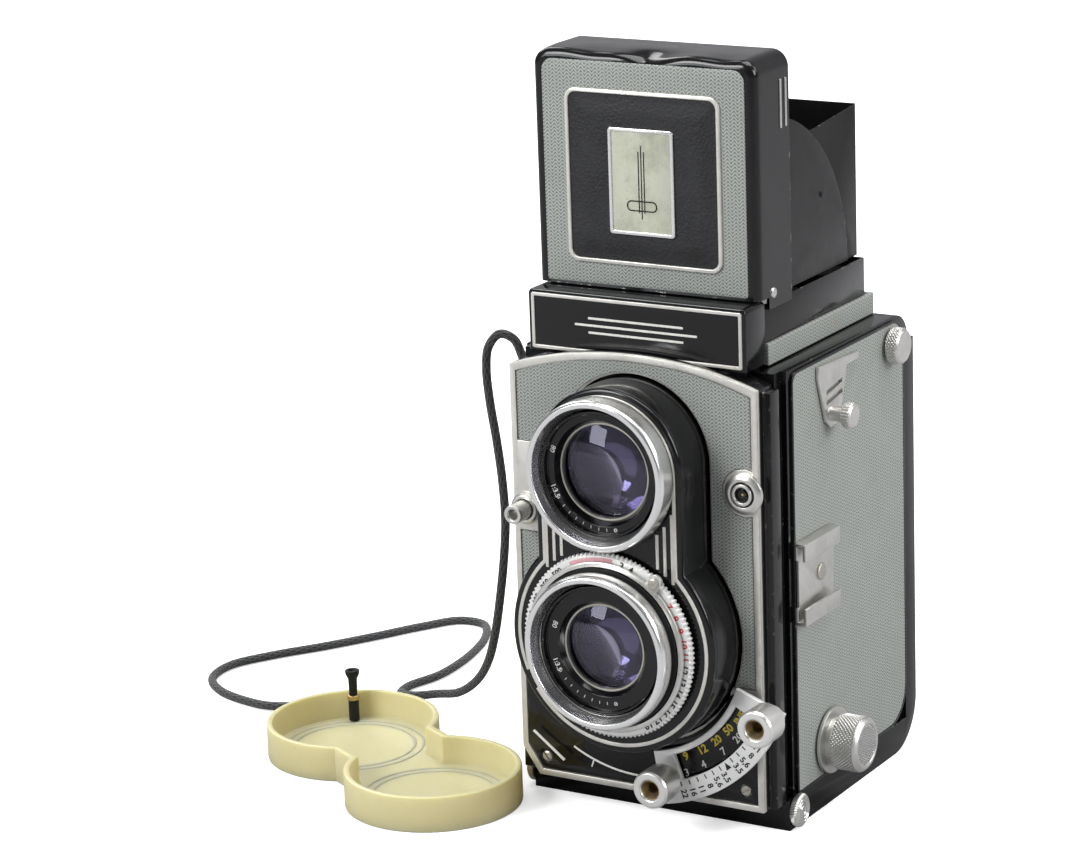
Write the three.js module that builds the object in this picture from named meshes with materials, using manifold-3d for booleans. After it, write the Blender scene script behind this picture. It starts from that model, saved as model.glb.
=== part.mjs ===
// Twin lens reflex camera for roll film, in millimetres.
// +Z is up, the lenses face -Y, and X = 0 is the plane of the two lens axes.
// The origin is on the surface that the camera stands on.
import * as THREE from 'three';
import { mergeVertices } from 'three/addons/utils/BufferGeometryUtils.js';
import Module from 'manifold-3d';

const wasm = await Module();
wasm.setup();

// ---- Driving dimensions ----
const GAP = 0.3; // between pieces that rest on, or pass, each other
const RUN = 0.25; // radial clearance of a shaft in its hole
const FINE = 28; // sides of a large round
const COARSE = 14; // sides of a small round

const BODY = {
  half: 38.4, front: -33.5, rear: 37.5, bottom: 9, top: 124,
  frontWall: 2, grooveRear: -30, grooveDepth: 1.6, innerHalf: 31.2,
  topRearRadius: 7.9, overhang: 4.4, overhangDepth: 7.4,
};
const LEATHER = 0.6; // thickness of the covering
const VIEW_Z = 100.2; // axis of the viewing lens
const TAKE_Z = 53.7; // axis of the taking lens
const FRAME_HALF = 28; // half of the 56 mm picture
const FACE = {
  half: 36.4, bottom: 8, shoulder: 121.6, crown: 127.5, chamferX: 5, chamferZ: 7.4,
  plateBack: -41.1, plateFront: -41.9, rimFront: -42.7, rim: 1.7, barZ: 41.4, barHeight: 1.7,
};
const HOUSING = {
  upperHalf: 21.6, lowerRadius: 30, front: -56, back: -36.5, wall: 2, slide: 0.6,
};
const LENS = {
  viewGlass: 12.8, takeGlass: 11.6, viewRimY: -63.5, viewRadius: 20.1, takeRimY: -66.2, takeRadius: 20.8,
  evRadius: 25.1, evFront: -58.9, evBack: -57.3, drumRadius: 21.4,
};
const LEVER = {
  inner: 32.6, window: 34.3, rail: 41.3, outer: 47.3, front: -46, thickness: 1.4,
  left: -80, right: -20, windowLeft: -70, windowRight: -28,
};
const FOCUS_KNOB = {
  radius: 5.1, neck: 3.4, headBack: -49, front: -57,
  leftAngle: -75.1, leftReach: 40.1, rightAngle: -22.6, rightReach: 44.8,
};
const SCREW = { x: 31, z: 13.4, radius: 1.5 };
const SOCKET = { x: 32.6, z: 94.4, radius: 5.4 };
const RELEASE = { x: -32.6, z: 82.6, radius: 2.6, front: -50 };
const DOOR = {
  half: 38.9, wall: 1.6, flange: 1.3, front: -33, rear: 44.4, top: 116.2,
  seatY: 37.9, seatZ: 8.6, corner: 14, hingeY: 42.6, hingeZ: 118.6,
};
const LATCH = { y: -29.7, z: 5.1, radius: 4.5, length: 2 };
const BUSH = { y: 16, radius: 9.4, bore: 4.8 };
const SPOOL = { flange: 11.9, core: 6, bore: 2.3, half: 30.7, flangeThickness: 1 };
const SUPPLY = { y: -9.5, z: 18 };
const TAKEUP = { y: 28.5, z: 110.5 };
const GEAR = { module: 0.8, knobTeeth: 32, spoolTeeth: 16, thickness: 1.9, outer: -36.3 };
const ADVANCE = { radius: 12, end: -52.5, angle: 233.13 };
const FILM_KNOB = { radius: 7.6, flange: 9, end: 50.2 };
const COUNTER = { y: 29.3, z: 117.2, radius: 5, end: 43.6 };
const ROLLER = { radius: 3, lowerY: 32.4, lowerZ: 14.6, upperY: 33.6, upperZ: 92.7 };
const STEP = { outer: 32.2, inner: 30.9, front: -27.3, rear: 34.2, top: 130 };
const BASE = { outer: 31.3, rear: 30.4, top: 140.3, sheet: 0.4 };
const NAME = { half: 31.9, front: -39.2, rear: -28.2, bottom: 124.8, top: 141.7, wall: 1.3 };
const LID = {
  pivotY: -24.5, pivotZ: 141, outer: 32.4, side: 0.8, front: -32.5, plate: 0.9,
  edge: -14.1, bottom: 142.1, foot: 138.9, top: 204, corner: 4.5,
};
const WING = { outside: 30.6, sheet: 0.3, radius: 46.5 };
const REAR = {
  outside: 30, sheet: 0.3, plate: 0.4, pivotY: 28.8, pivotZ: 140.5, height: 41.8, reach: -10, drop: 3.8,
};
const MIRROR = { half: 28.3, sumZ: 105.7, thickness: 1.6, front: -30.8, rear: 21.6 };
const BOX = { outer: 29.4, wall: 0.7, front: -31.2, rear: 22.9, top: 131.2 };
const CAP = { radius: 24.2, wall: 1.7, depth: 10, floor: 1.8, centreX: -58.2, centreY: -54.4, turn: 151 };
const CORD = { radius: 1.25, sides: 8, steps: 72 };

const takingGroup = new THREE.Group();
takingGroup.position.set(0, 0, TAKE_Z);
const viewingGroup = new THREE.Group();
viewingGroup.position.set(0, 0, VIEW_Z);
const camera = new THREE.Group();
camera.add(takingGroup, viewingGroup);

// ---- Materials ----
const paint = new THREE.MeshStandardMaterial({ color: 0x17171a, roughness: 0.32, metalness: 0.1 });
const mattBlack = new THREE.MeshStandardMaterial({ color: 0x202022, roughness: 0.7 });
const silver = new THREE.MeshStandardMaterial({ color: 0xc4c4c0, roughness: 0.35, metalness: 0.9 });
const brass = new THREE.MeshStandardMaterial({ color: 0xb08d4a, roughness: 0.4, metalness: 0.9 });
const leather = new THREE.MeshStandardMaterial({ color: 0x8c918b, roughness: 0.75 });
const plastic = new THREE.MeshStandardMaterial({ color: 0x18181a, roughness: 0.45 });
const glass = new THREE.MeshStandardMaterial({ color: 0x3a3550, roughness: 0.05, metalness: 0.2 });
const capPlastic = new THREE.MeshStandardMaterial({ color: 0xd6cf95, roughness: 0.4 });
const cordBlack = new THREE.MeshStandardMaterial({ color: 0x26282a, roughness: 0.8 });

// ---- Solids ----
function signedVolume(position, index) {
  const [a, b, c] = [new THREE.Vector3(), new THREE.Vector3(), new THREE.Vector3()];
  let sum = 0;
  for (let i = 0; i < index.length; i += 3) {
    a.fromArray(position, index[i] * 3);
    b.fromArray(position, index[i + 1] * 3);
    c.fromArray(position, index[i + 2] * 3);
    sum += a.dot(b.cross(c));
  }
  return sum;
}

// A closed geometry as a solid, with its faces turned outwards.
function solid(geometry) {
  geometry.deleteAttribute('normal');
  geometry.deleteAttribute('uv');
  const merged = mergeVertices(geometry, 1e-4);
  const position = merged.attributes.position.array;
  const triangles = [];
  for (let i = 0; i < merged.index.count; i += 3) {
    const corners = [0, 1, 2].map((n) => merged.index.getX(i + n));
    if (new Set(corners).size === 3) triangles.push(...corners);
  }
  if (signedVolume(position, triangles) < 0) triangles.reverse();
  return new wasm.Manifold(new wasm.Mesh({
    numProp: 3,
    vertProperties: Float32Array.from(position),
    triVerts: Uint32Array.from(triangles),
  }));
}

function add(name, body, material, parent = camera) {
  const mesh = body.getMesh();
  const geometry = new THREE.BufferGeometry();
  geometry.setAttribute('position', new THREE.BufferAttribute(mesh.vertProperties, 3));
  geometry.setIndex(new THREE.BufferAttribute(mesh.triVerts, 1));
  geometry.computeVertexNormals();
  const piece = new THREE.Mesh(geometry, material);
  piece.name = name;
  parent.add(piece);
  return piece;
}

function box(x0, x1, y0, y1, z0, z1) {
  const geometry = new THREE.BoxGeometry(x1 - x0, y1 - y0, z1 - z0);
  geometry.translate((x0 + x1) / 2, (y0 + y1) / 2, (z0 + z1) / 2);
  return solid(geometry);
}

function extruded(shape, depth, curveSegments) {
  return new THREE.ExtrudeGeometry(shape, { depth, bevelEnabled: false, curveSegments });
}

// A shape drawn in (x, z), from yFront to yBack.
function prismY(shape, yFront, yBack, curveSegments = 4) {
  const geometry = extruded(shape, yBack - yFront, curveSegments);
  geometry.rotateX(Math.PI / 2);
  geometry.translate(0, yBack, 0);
  return solid(geometry);
}

// A shape drawn in (y, z), from x0 to x1.
function prismX(shape, x0, x1, curveSegments = 4) {
  const geometry = extruded(shape, x1 - x0, curveSegments);
  const turn = new THREE.Matrix4().makeBasis(
    new THREE.Vector3(0, 1, 0), new THREE.Vector3(0, 0, 1), new THREE.Vector3(1, 0, 0));
  geometry.applyMatrix4(turn);
  geometry.translate(x0, 0, 0);
  return solid(geometry);
}

// A shape drawn in (x, y), from z0 to z1.
function prismZ(shape, z0, z1, curveSegments = 4) {
  const geometry = extruded(shape, z1 - z0, curveSegments);
  geometry.translate(0, 0, z0);
  return solid(geometry);
}

function lathe(points, sides) {
  const profile = points.map(([radius, along]) => new THREE.Vector2(radius, along));
  return new THREE.LatheGeometry(profile, sides);
}

// Turned about Y, X or Z, from points of [radius, place along the axis].
function turnedY(points, x = 0, z = 0, sides = FINE) {
  const geometry = lathe(points.map(([r, y]) => [r, -y]), sides);
  geometry.rotateX(Math.PI);
  geometry.translate(x, 0, z);
  return solid(geometry);
}

function turnedX(points, y = 0, z = 0, sides = FINE) {
  const geometry = lathe(points, sides);
  geometry.rotateZ(-Math.PI / 2);
  geometry.translate(0, y, z);
  return solid(geometry);
}

function turnedZ(points, x = 0, y = 0, sides = FINE) {
  const geometry = lathe(points, sides);
  geometry.rotateX(Math.PI / 2);
  geometry.translate(x, y, 0);
  return solid(geometry);
}

const diskY = (r, y0, y1, x, z, sides) => turnedY([[0, y0], [r, y0], [r, y1], [0, y1]], x, z, sides);
const diskX = (r, x0, x1, y, z, sides) => turnedX([[0, x0], [r, x0], [r, x1], [0, x1]], y, z, sides);
const diskZ = (r, z0, z1, x, y, sides) => turnedZ([[0, z0], [r, z0], [r, z1], [0, z1]], x, y, sides);

function ring(outer, inner, y0, y1) {
  return [[inner, y0], [outer, y0], [outer, y1], [inner, y1], [inner, y0]];
}

const rad = (degrees) => degrees * Math.PI / 180;

function outline(points) {
  const shape = new THREE.Shape();
  shape.moveTo(...points[0]);
  points.slice(1).forEach((point) => shape.lineTo(...point));
  shape.closePath();
  return shape;
}

// A rectangle with its own radius at each corner, from low-low anticlockwise.
function roundedRect(x0, x1, y0, y1, radii) {
  const [ll, hl, hh, lh] = radii;
  const shape = new THREE.Shape();
  shape.moveTo(x0 + ll, y0);
  shape.lineTo(x1 - hl, y0);
  if (hl) shape.absarc(x1 - hl, y0 + hl, hl, -Math.PI / 2, 0, false);
  shape.lineTo(x1, y1 - hh);
  if (hh) shape.absarc(x1 - hh, y1 - hh, hh, 0, Math.PI / 2, false);
  shape.lineTo(x0 + lh, y1);
  if (lh) shape.absarc(x0 + lh, y1 - lh, lh, Math.PI / 2, Math.PI, false);
  shape.lineTo(x0, y0 + ll);
  if (ll) shape.absarc(x0 + ll, y0 + ll, ll, Math.PI, Math.PI * 1.5, false);
  return shape;
}

// ---- Front of the camera ----
// The arched outline of the face, pulled in by inset.
function faceOutline(inset, crown = FACE.crown) {
  const half = FACE.half - inset;
  const bottom = FACE.bottom + inset;
  const shoulder = FACE.shoulder - inset;
  const cut = inset * 0.4;
  const shape = new THREE.Shape();
  shape.moveTo(half, bottom);
  shape.lineTo(half, shoulder);
  shape.quadraticCurveTo(half * 0.55, crown - inset, 0, crown - inset);
  shape.quadraticCurveTo(-half * 0.55, crown - inset, -half, shoulder);
  shape.lineTo(-half, bottom + FACE.chamferZ - cut);
  shape.lineTo(-half + FACE.chamferX - cut, bottom);
  shape.closePath();
  return shape;
}

// The figure-of-eight outline of the lens housing, grown by grow.
function housingOutline(grow) {
  const half = HOUSING.upperHalf + grow;
  const radius = HOUSING.lowerRadius + grow;
  const meet = Math.acos(half / radius);
  const shape = new THREE.Shape();
  shape.moveTo(half, VIEW_Z);
  shape.absarc(0, VIEW_Z, half, 0, Math.PI, false);
  shape.lineTo(-half, TAKE_Z + radius * Math.sin(meet));
  shape.absarc(0, TAKE_Z, radius, Math.PI - meet, 2 * Math.PI + meet, false);
  shape.closePath();
  return shape;
}

function addFront() {
  const ledgeY = NAME.front - GAP;
  const lowTop = NAME.bottom - GAP;
  const bay = prismY(housingOutline(HOUSING.slide), -60, BODY.front + 1, 14);
  const housing = prismY(faceOutline(0), FACE.plateBack + 0.1 * GAP, ledgeY, 8)
    .add(prismY(faceOutline(0), ledgeY - 1, BODY.front - GAP, 8)
      .subtract(box(-60, 60, ledgeY, 0, lowTop, 160)))
    .add(box(-BODY.half, BODY.half, -39, BODY.front - GAP, FACE.bottom, FACE.shoulder - 1)
      .subtract(box(-FACE.half + 1, FACE.half - 1, -60, 0, 0, 200)))
    .subtract(bay)
    .subtract(diskY(RELEASE.radius + RUN, -43, -37, RELEASE.x, RELEASE.z, COARSE));
  add('front_housing', housing, paint);

  const releaseHole = diskY(RELEASE.radius + RUN, -43, -40, RELEASE.x, RELEASE.z, COARSE);
  const inside = faceOutline(FACE.rim);
  const rim = prismY(faceOutline(0), FACE.rimFront, FACE.plateFront - 0.2, 8)
    .subtract(prismY(inside, -44, -40, 8));
  const bar = box(0, FACE.half - 1, FACE.rimFront, -41.5, FACE.barZ - FACE.barHeight, FACE.barZ);
  const bossRight = diskY(SOCKET.radius + 1, FACE.rimFront, -41.5, SOCKET.x, SOCKET.z, COARSE)
    .intersect(prismY(faceOutline(0.2), -44, -40, 8));
  const bossLeft = box(-FACE.half + 1, -22, FACE.rimFront, -41.5, 76.5, 101);
  const plate = prismY(faceOutline(0), FACE.plateFront, FACE.plateBack, 8)
    .add(rim).add(bar).add(bossRight).add(bossLeft)
    .subtract(bay)
    .subtract(releaseHole);
  add('front_plate', plate, silver);

  const upper = box(-60, 60, -60, 0, FACE.barZ + GAP, 160);
  const left = box(-60, 0, -60, 0, -10, 101 + GAP);
  const field = prismY(faceOutline(FACE.rim + GAP), FACE.plateFront - LEATHER, FACE.plateFront - 0.1, 8);
  const keepOff = prismY(housingOutline(HOUSING.slide + 0.6), -60, -30, 14)
    .add(diskY(SOCKET.radius + 1 + GAP, -60, -30, SOCKET.x, SOCKET.z, COARSE));
  add('front_leather', field.intersect(upper).subtract(left).subtract(keepOff), leather);
  const small = field.intersect(box(-60, 0, -60, 0, 62, 76.5 - GAP)).subtract(keepOff);
  add('front_leather_small', small, leather);

  // The distance scale is on a low arc round the taking lens.
  const scaleArc = sector(31, 41, -119, -24, -44, FACE.plateFront - 0.1)
    .translate(0, 0, TAKE_Z)
    .intersect(prismY(faceOutline(FACE.rim + GAP), -60, -30, 8));
  const scaleTop = box(-60, 60, -60, 0, -10, FACE.barZ - FACE.barHeight - GAP);
  const scale = field.intersect(scaleTop).add(scaleArc.intersect(scaleTop))
    .subtract(keepOff)
    .subtract(diskY(SCREW.radius + RUN, -60, -30, SCREW.x, SCREW.z, COARSE))
    .subtract(diskY(SCREW.radius + RUN, -60, -30, -SCREW.x + 2, SCREW.z, COARSE));
  add('scale_plate', scale, paint);

  for (const [side, x] of [['right', SCREW.x], ['left', -SCREW.x + 2]]) {
    const head = diskY(SCREW.radius, -42.8, FACE.plateFront - 0.1, x, SCREW.z, COARSE)
      .subtract(box(x - 2, x + 2, -43.2, -42.5, SCREW.z - 0.25, SCREW.z + 0.25));
    add(`face_screw_${side}`, head, silver);
  }

  const socket = turnedY([[0, 0], [SOCKET.radius, 0], [SOCKET.radius, -0.9], [4, -1.5], [3.3, -1.5],
    [3.3, -1.9], [2.3, -1.9], [2.3, -0.4], [0.9, -0.4], [0.9, -1.4], [0, -1.4]],
  SOCKET.x, SOCKET.z, COARSE).translate(0, FACE.rimFront - 0.1, 0);
  add('sync_socket', socket, silver);

  const collar = RELEASE.radius + RUN;
  add('release_boss', turnedY(ring(collar + 1.3, collar, FACE.rimFront - 0.1, FACE.rimFront - 1.6),
    RELEASE.x, RELEASE.z, COARSE), silver);
  const button = turnedY([[0, -42.2], [RELEASE.radius, -42.2], [RELEASE.radius, RELEASE.front],
    [1.6, RELEASE.front], [1.2, RELEASE.front + 4], [0, RELEASE.front + 4]],
  RELEASE.x, RELEASE.z, COARSE);
  add('release_button', button, silver);
}

// An annular sector about Y through the origin, angles in degrees from +X towards +Z.
function sector(inner, outer, from, to, yFront, yBack) {
  const shape = new THREE.Shape();
  shape.absarc(0, 0, outer, rad(from), rad(to), false);
  shape.absarc(0, 0, inner, rad(to), rad(from), true);
  shape.closePath();
  return prismY(shape, yFront, yBack, 10);
}

// ---- Lenses ----
function addHousing() {
  const shell = prismY(housingOutline(0), HOUSING.front, HOUSING.back, 14)
    .subtract(prismY(housingOutline(-HOUSING.wall), HOUSING.front + HOUSING.wall, 0, 14))
    .subtract(diskY(17, -60, -50, 0, VIEW_Z))
    .subtract(diskY(LENS.drumRadius + 0.8, -60, -50, 0, TAKE_Z));
  add('lens_housing', shell, paint);
}

function barrel(radius, back, rim, throat) {
  return turnedY([[throat, back], [radius - 0.6, back], [radius, back - 1], [radius, rim + 0.6],
    [radius - 0.6, rim], [radius - 1.4, rim], [throat + 0.5, rim + 3.4], [throat, rim + 3.6],
    [throat, back]]);
}

function retainer(outer, inner, back, frontOuter, frontInner) {
  return turnedY([[inner, back], [outer, back], [outer, frontOuter], [outer - 1, frontOuter],
    [inner, frontInner], [inner, back]]);
}

function glassDome(radius, back, edge, crown) {
  const points = [[0, back], [radius, back], [radius, edge]];
  for (let i = 1; i <= 5; i += 1) {
    const share = 1 - i / 5;
    points.push([radius * share, crown + (edge - crown) * share * share]);
  }
  return turnedY(points);
}

function addLenses() {
  const { viewGlass, takeGlass } = LENS;
  const viewBack = HOUSING.front - GAP;
  add('viewing_barrel', barrel(LENS.viewRadius, viewBack, LENS.viewRimY, 16.9), silver, viewingGroup);
  add('viewing_retainer', retainer(16.6, viewGlass + RUN, -54.5, -60.6, -57.6), paint, viewingGroup);
  add('viewing_glass', glassDome(viewGlass, -54.5, -56.6, -59), glass, viewingGroup);

  const drum = LENS.drumRadius;
  const caseProfile = [[18.2, -48], [drum, -48], [drum, -56.3], [23.6, -56.3], [23.6, -57],
    [drum, -57], [drum, -60.4], [17.6, -60.4], [17.6, -58], [18.2, -58], [18.2, -48]];
  add('shutter_case', turnedY(caseProfile), mattBlack, takingGroup);
  add('taking_barrel', barrel(LENS.takeRadius, -60.7, LENS.takeRimY, 17.6), silver, takingGroup);
  add('taking_retainer', retainer(17.2, takeGlass + RUN, -56.5, -63, -60.4), paint, takingGroup);
  add('taking_glass', glassDome(takeGlass, -56.5, -59.4, -61.6), glass, takingGroup);
  add('light_tube', turnedY(ring(17.9, 16.9, -55.5, -34)), mattBlack, takingGroup);

  const evInner = drum + GAP;
  add('ev_ring', turnedY([[evInner, LENS.evBack], [LENS.evRadius, LENS.evBack],
    [LENS.evRadius, LENS.evFront + 0.5], [LENS.evRadius - 1.2, LENS.evFront],
    [evInner, LENS.evFront], [evInner, LENS.evBack]], 0, 0, 36), silver, takingGroup);
  const lug = prismY(outline([[22.2, -1.6], [27, -1.6], [27, 1.6], [22.2, 1.6]]), -60.2, -59.2);
  const tip = diskY(1.6, -61, -59.4, 24.6, 0, 16);
  const index = lug.add(tip).rotate([0, -52, 0]);
  add('aperture_ring', turnedY(ring(23, evInner, -59.2, -60.2)).add(index), silver, takingGroup);
}

function addFocusLever() {
  const { inner, window, rail, outer, front, thickness } = LEVER;
  const back = front + thickness;
  const plate = sector(inner, outer, LEVER.left, LEVER.right, front, back)
    .subtract(sector(window, rail, LEVER.windowLeft, LEVER.windowRight, front - 1, back + 1));
  add('focus_lever', plate, silver, takingGroup);
  const knobs = [
    ['left', FOCUS_KNOB.leftAngle, FOCUS_KNOB.leftReach],
    ['right', FOCUS_KNOB.rightAngle, FOCUS_KNOB.rightReach],
  ];
  for (const [side, angle, reach] of knobs) {
    const foot = front - 0.1;
    const { radius, neck, headBack } = FOCUS_KNOB;
    const end = FOCUS_KNOB.front;
    const profile = [[0, foot], [neck, foot], [neck, headBack], [radius, headBack],
      [radius, end + 0.5], [radius - 0.5, end], [3.4, end], [1.7, end + 1.8], [1.6, end + 6],
      [0, end + 6]];
    add(`focus_knob_${side}`, turnedY(profile, reach * Math.cos(rad(angle)),
      reach * Math.sin(rad(angle)), 18), silver, takingGroup);
  }
}

// ---- Body ----
function castingProfile() {
  const { front, rear, bottom, top, topRearRadius, overhang, overhangDepth } = BODY;
  const centreY = rear + overhang - topRearRadius;
  const shape = new THREE.Shape();
  shape.moveTo(front, bottom);
  shape.lineTo(rear, bottom);
  shape.lineTo(rear, top - overhangDepth);
  const start = Math.asin((topRearRadius - overhangDepth) / topRearRadius);
  shape.absarc(centreY, top - topRearRadius, topRearRadius, start, Math.PI / 2, false);
  shape.lineTo(front, top);
  shape.closePath();
  return shape;
}

const gearReach = GEAR.module * (GEAR.knobTeeth + GEAR.spoolTeeth) / 2;
const ADVANCE_Y = TAKEUP.y + gearReach * Math.cos(rad(ADVANCE.angle));
const ADVANCE_Z = TAKEUP.z + gearReach * Math.sin(rad(ADVANCE.angle));
const gearTip = (teeth) => GEAR.module * (teeth / 2 + 0.8);

function addCasting() {
  const { half, front, rear, innerHalf } = BODY;
  const inner = front + BODY.frontWall;
  const grooveX = half - BODY.grooveDepth;
  const wallX = half - 1.6;
  let body = prismX(castingProfile(), -half, half);
  for (const s of [-1, 1]) {
    const [low, high] = [s * grooveX, s * (half + 1)].sort((a, b) => a - b);
    body = body.subtract(box(low, high, front - 1, BODY.grooveRear, 0, 200));
  }
  // The chambers for the film, the light path of the taking lens, and the reflex mirror.
  const lower = outline([[-24.2, 0], [rear + 2, 0], [rear + 2, 23.4], [rear - 2, 23.4],
    [5, 31.8], [-24.2, 31.8]]);
  const gateTop = TAKE_Z + FRAME_HALF;
  const gateBottom = TAKE_Z - FRAME_HALF;
  const path = outline([[inner, 34], [6, 34], [36, gateBottom], [36, gateTop], [inner, 66.5]]);
  const mirrorBay = outline([[inner, MIRROR.sumZ - 4.4 + inner],
    [94 - MIRROR.sumZ + 4.4, 94], [inner, 94]]);
  body = body
    .subtract(prismX(lower, -31.4, 31.4))
    .subtract(prismX(path, -FRAME_HALF - 0.2, FRAME_HALF + 0.2))
    .subtract(prismX(mirrorBay, -BOX.outer - GAP, BOX.outer + GAP))
    .subtract(box(-innerHalf, innerHalf, inner, STEP.rear - 2.6, 92, 160))
    .subtract(box(-innerHalf, innerHalf, inner, rear + 10, 92, BODY.top - BODY.overhangDepth))
    .subtract(diskX(SPOOL.flange + 0.4, -innerHalf, innerHalf, TAKEUP.y, TAKEUP.z))
    .subtract(box(-31.4, 31.4, rear - 2.6, rear + 2, 20, 93))
    .subtract(box(-31.4, 31.4, ROLLER.upperY - 4, rear + 2, ROLLER.upperZ - 4, 97))
    .subtract(diskY(24, front - 1, inner + 1, 0, TAKE_Z))
    .subtract(diskY(19, front - 1, inner + 1, 0, VIEW_Z));
  // The gear pocket in the left wall, and the holes for the shafts.
  const pocketInner = GEAR.outer + GEAR.thickness + 0.5;
  const shaftHole = SPOOL.bore + RUN;
  body = body
    .subtract(diskX(gearTip(GEAR.knobTeeth) + 0.5, -wallX, pocketInner, ADVANCE_Y, ADVANCE_Z))
    .subtract(diskX(gearTip(GEAR.spoolTeeth) + 0.5, -wallX, pocketInner, TAKEUP.y, TAKEUP.z))
    .subtract(diskX(shaftHole, -wallX, -30, TAKEUP.y, TAKEUP.z, COARSE))
    .subtract(diskX(3 + RUN, -half - 1, -wallX + 1, ADVANCE_Y, ADVANCE_Z, COARSE))
    .subtract(diskX(shaftHole, 30, half + 1, SUPPLY.y, SUPPLY.z, COARSE))
    .subtract(diskX(1.6 + RUN, half - 4, half + 1, COUNTER.y, COUNTER.z, COARSE));
  for (const s of [-1, 1]) {
    const [low, high] = [s * 31, s * 33.5].sort((a, b) => a - b);
    body = body
      .subtract(diskX(1.2 + RUN, low, high, ROLLER.lowerY, ROLLER.lowerZ, 16))
      .subtract(diskX(1.2 + RUN, low, high, ROLLER.upperY, ROLLER.upperZ, 16));
  }
  // Pivots that hold the undriven end of each spool.
  body = body
    .add(diskX(SPOOL.bore - RUN, -33, -27, SUPPLY.y, SUPPLY.z, COARSE))
    .add(diskX(SPOOL.bore - RUN, 27, 33, TAKEUP.y, TAKEUP.z, COARSE));
  // The hinge of the back: two knuckles with one pin through them.
  const { hingeY, hingeZ } = DOOR;
  const knuckleRadius = 1.9;
  const notch = box(-20, 20, BODY.rear + 2.6, 60, DOOR.top, 160);
  body = body.subtract(notch);
  for (const s of [-1, 1]) {
    const [low, high] = [s * 20, s * 30].sort((a, b) => a - b);
    const knuckle = diskX(knuckleRadius, low, high, hingeY, hingeZ, COARSE)
      .add(box(low, high, hingeY - 3, hingeY, hingeZ - knuckleRadius, hingeZ + 1));
    body = body.add(knuckle);
  }
  body = body.add(diskX(0.8, -25, 25, hingeY, hingeZ, 16));
  add('body_casting', body, paint);
}

function addFilmParts() {
  const top = TAKE_Z + FRAME_HALF;
  const bottom = TAKE_Z - FRAME_HALF;
  const back = BODY.rear - 0.6;
  const gate = box(-31, 31, BODY.rear - 2.3, back, bottom - 4.5, top + 5)
    .subtract(box(-FRAME_HALF, FRAME_HALF, 0, 60, bottom, top));
  add('film_gate', gate, mattBlack);
  const rollers = [
    ['lower', ROLLER.lowerY, ROLLER.lowerZ],
    ['upper', ROLLER.upperY, ROLLER.upperZ],
  ];
  for (const [name, y, z] of rollers) {
    const profile = [[0, -33], [1.2, -33], [1.2, -31], [ROLLER.radius, -31], [ROLLER.radius, 31],
      [1.2, 31], [1.2, 33], [0, 33]];
    add(`roller_${name}`, turnedX(profile, y, z, COARSE), silver);
  }
  for (const [name, { y, z }] of [['supply_spool', SUPPLY], ['takeup_spool', TAKEUP]]) {
    const { flange, core, bore, half, flangeThickness } = SPOOL;
    const edge = half - flangeThickness;
    const profile = [[bore, -half], [flange, -half], [flange, -edge], [core, -edge], [core, edge],
      [flange, edge], [flange, half], [bore, half], [bore, -half]];
    add(name, turnedX(profile, y, z, 20), mattBlack);
  }
}

// A spur gear about X. phase is the angle of one tooth, in degrees from +Y towards +Z.
function gear(teeth, phase) {
  const { module: size, outer, thickness } = GEAR;
  const pitch = size * teeth / 2;
  const step = 2 * Math.PI / teeth;
  const points = [];
  for (let i = 0; i < teeth; i += 1) {
    const at = rad(phase) + i * step;
    const corners = [[-0.31, -1], [-0.1, 0.8], [0.1, 0.8], [0.31, -1]];
    for (const [turn, height] of corners) {
      const radius = pitch + height * size;
      points.push([radius * Math.cos(at + turn * step), radius * Math.sin(at + turn * step)]);
    }
  }
  return prismX(outline(points), outer, outer + thickness);
}

function addAdvance() {
  const shaftInner = GEAR.outer + GEAR.thickness + 0.2;
  const outerFace = -(BODY.half + LEATHER + 2 * GAP);
  const { radius, end } = ADVANCE;
  const knob = turnedX([[0, end], [radius - 1, end], [radius, end + 1], [radius, outerFace - 2],
    [radius - 3, outerFace - 2], [radius - 3, outerFace], [3, outerFace], [3, GEAR.outer - GAP],
    [2, GEAR.outer - GAP], [2, shaftInner], [0, shaftInner]], ADVANCE_Y, ADVANCE_Z);
  add('advance_knob', knob, silver);
  const wheel = gear(GEAR.knobTeeth, ADVANCE.angle - 180)
    .translate(0, ADVANCE_Y, ADVANCE_Z)
    .subtract(diskX(2 + RUN, -60, 0, ADVANCE_Y, ADVANCE_Z, COARSE));
  add('advance_gear', wheel, brass);
  const halfTooth = 180 / GEAR.spoolTeeth;
  const shaft = diskX(SPOOL.bore - RUN, GEAR.outer, -27, TAKEUP.y, TAKEUP.z, COARSE);
  const pinion = gear(GEAR.spoolTeeth, ADVANCE.angle + halfTooth)
    .translate(0, TAKEUP.y, TAKEUP.z)
    .add(shaft);
  add('takeup_gear', pinion, brass);
}

function addRightKnobs() {
  const face = BODY.half + LEATHER + 2 * GAP;
  const { radius, flange, end } = FILM_KNOB;
  const pin = SPOOL.bore - RUN;
  const film = turnedX([[0, 24.5], [pin, 24.5], [pin, face], [flange, face], [flange, face + 0.9],
    [radius - 1.2, face + 0.9], [radius - 1.2, face + 2.6], [radius, face + 2.6],
    [radius, end - 1.6], [radius - 1.2, end], [0, end]], SUPPLY.y, SUPPLY.z);
  add('film_knob', film, silver);
  const small = COUNTER.radius;
  const counter = turnedX([[0, BODY.half - 3.6], [1.6, BODY.half - 3.6], [1.6, face], [small - 0.5, face],
    [small, face + 0.6], [small, COUNTER.end - 1.2], [small - 1.2, COUNTER.end], [0, COUNTER.end]],
  COUNTER.y, COUNTER.z, 18);
  add('counter_knob', counter, silver);
}

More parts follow.
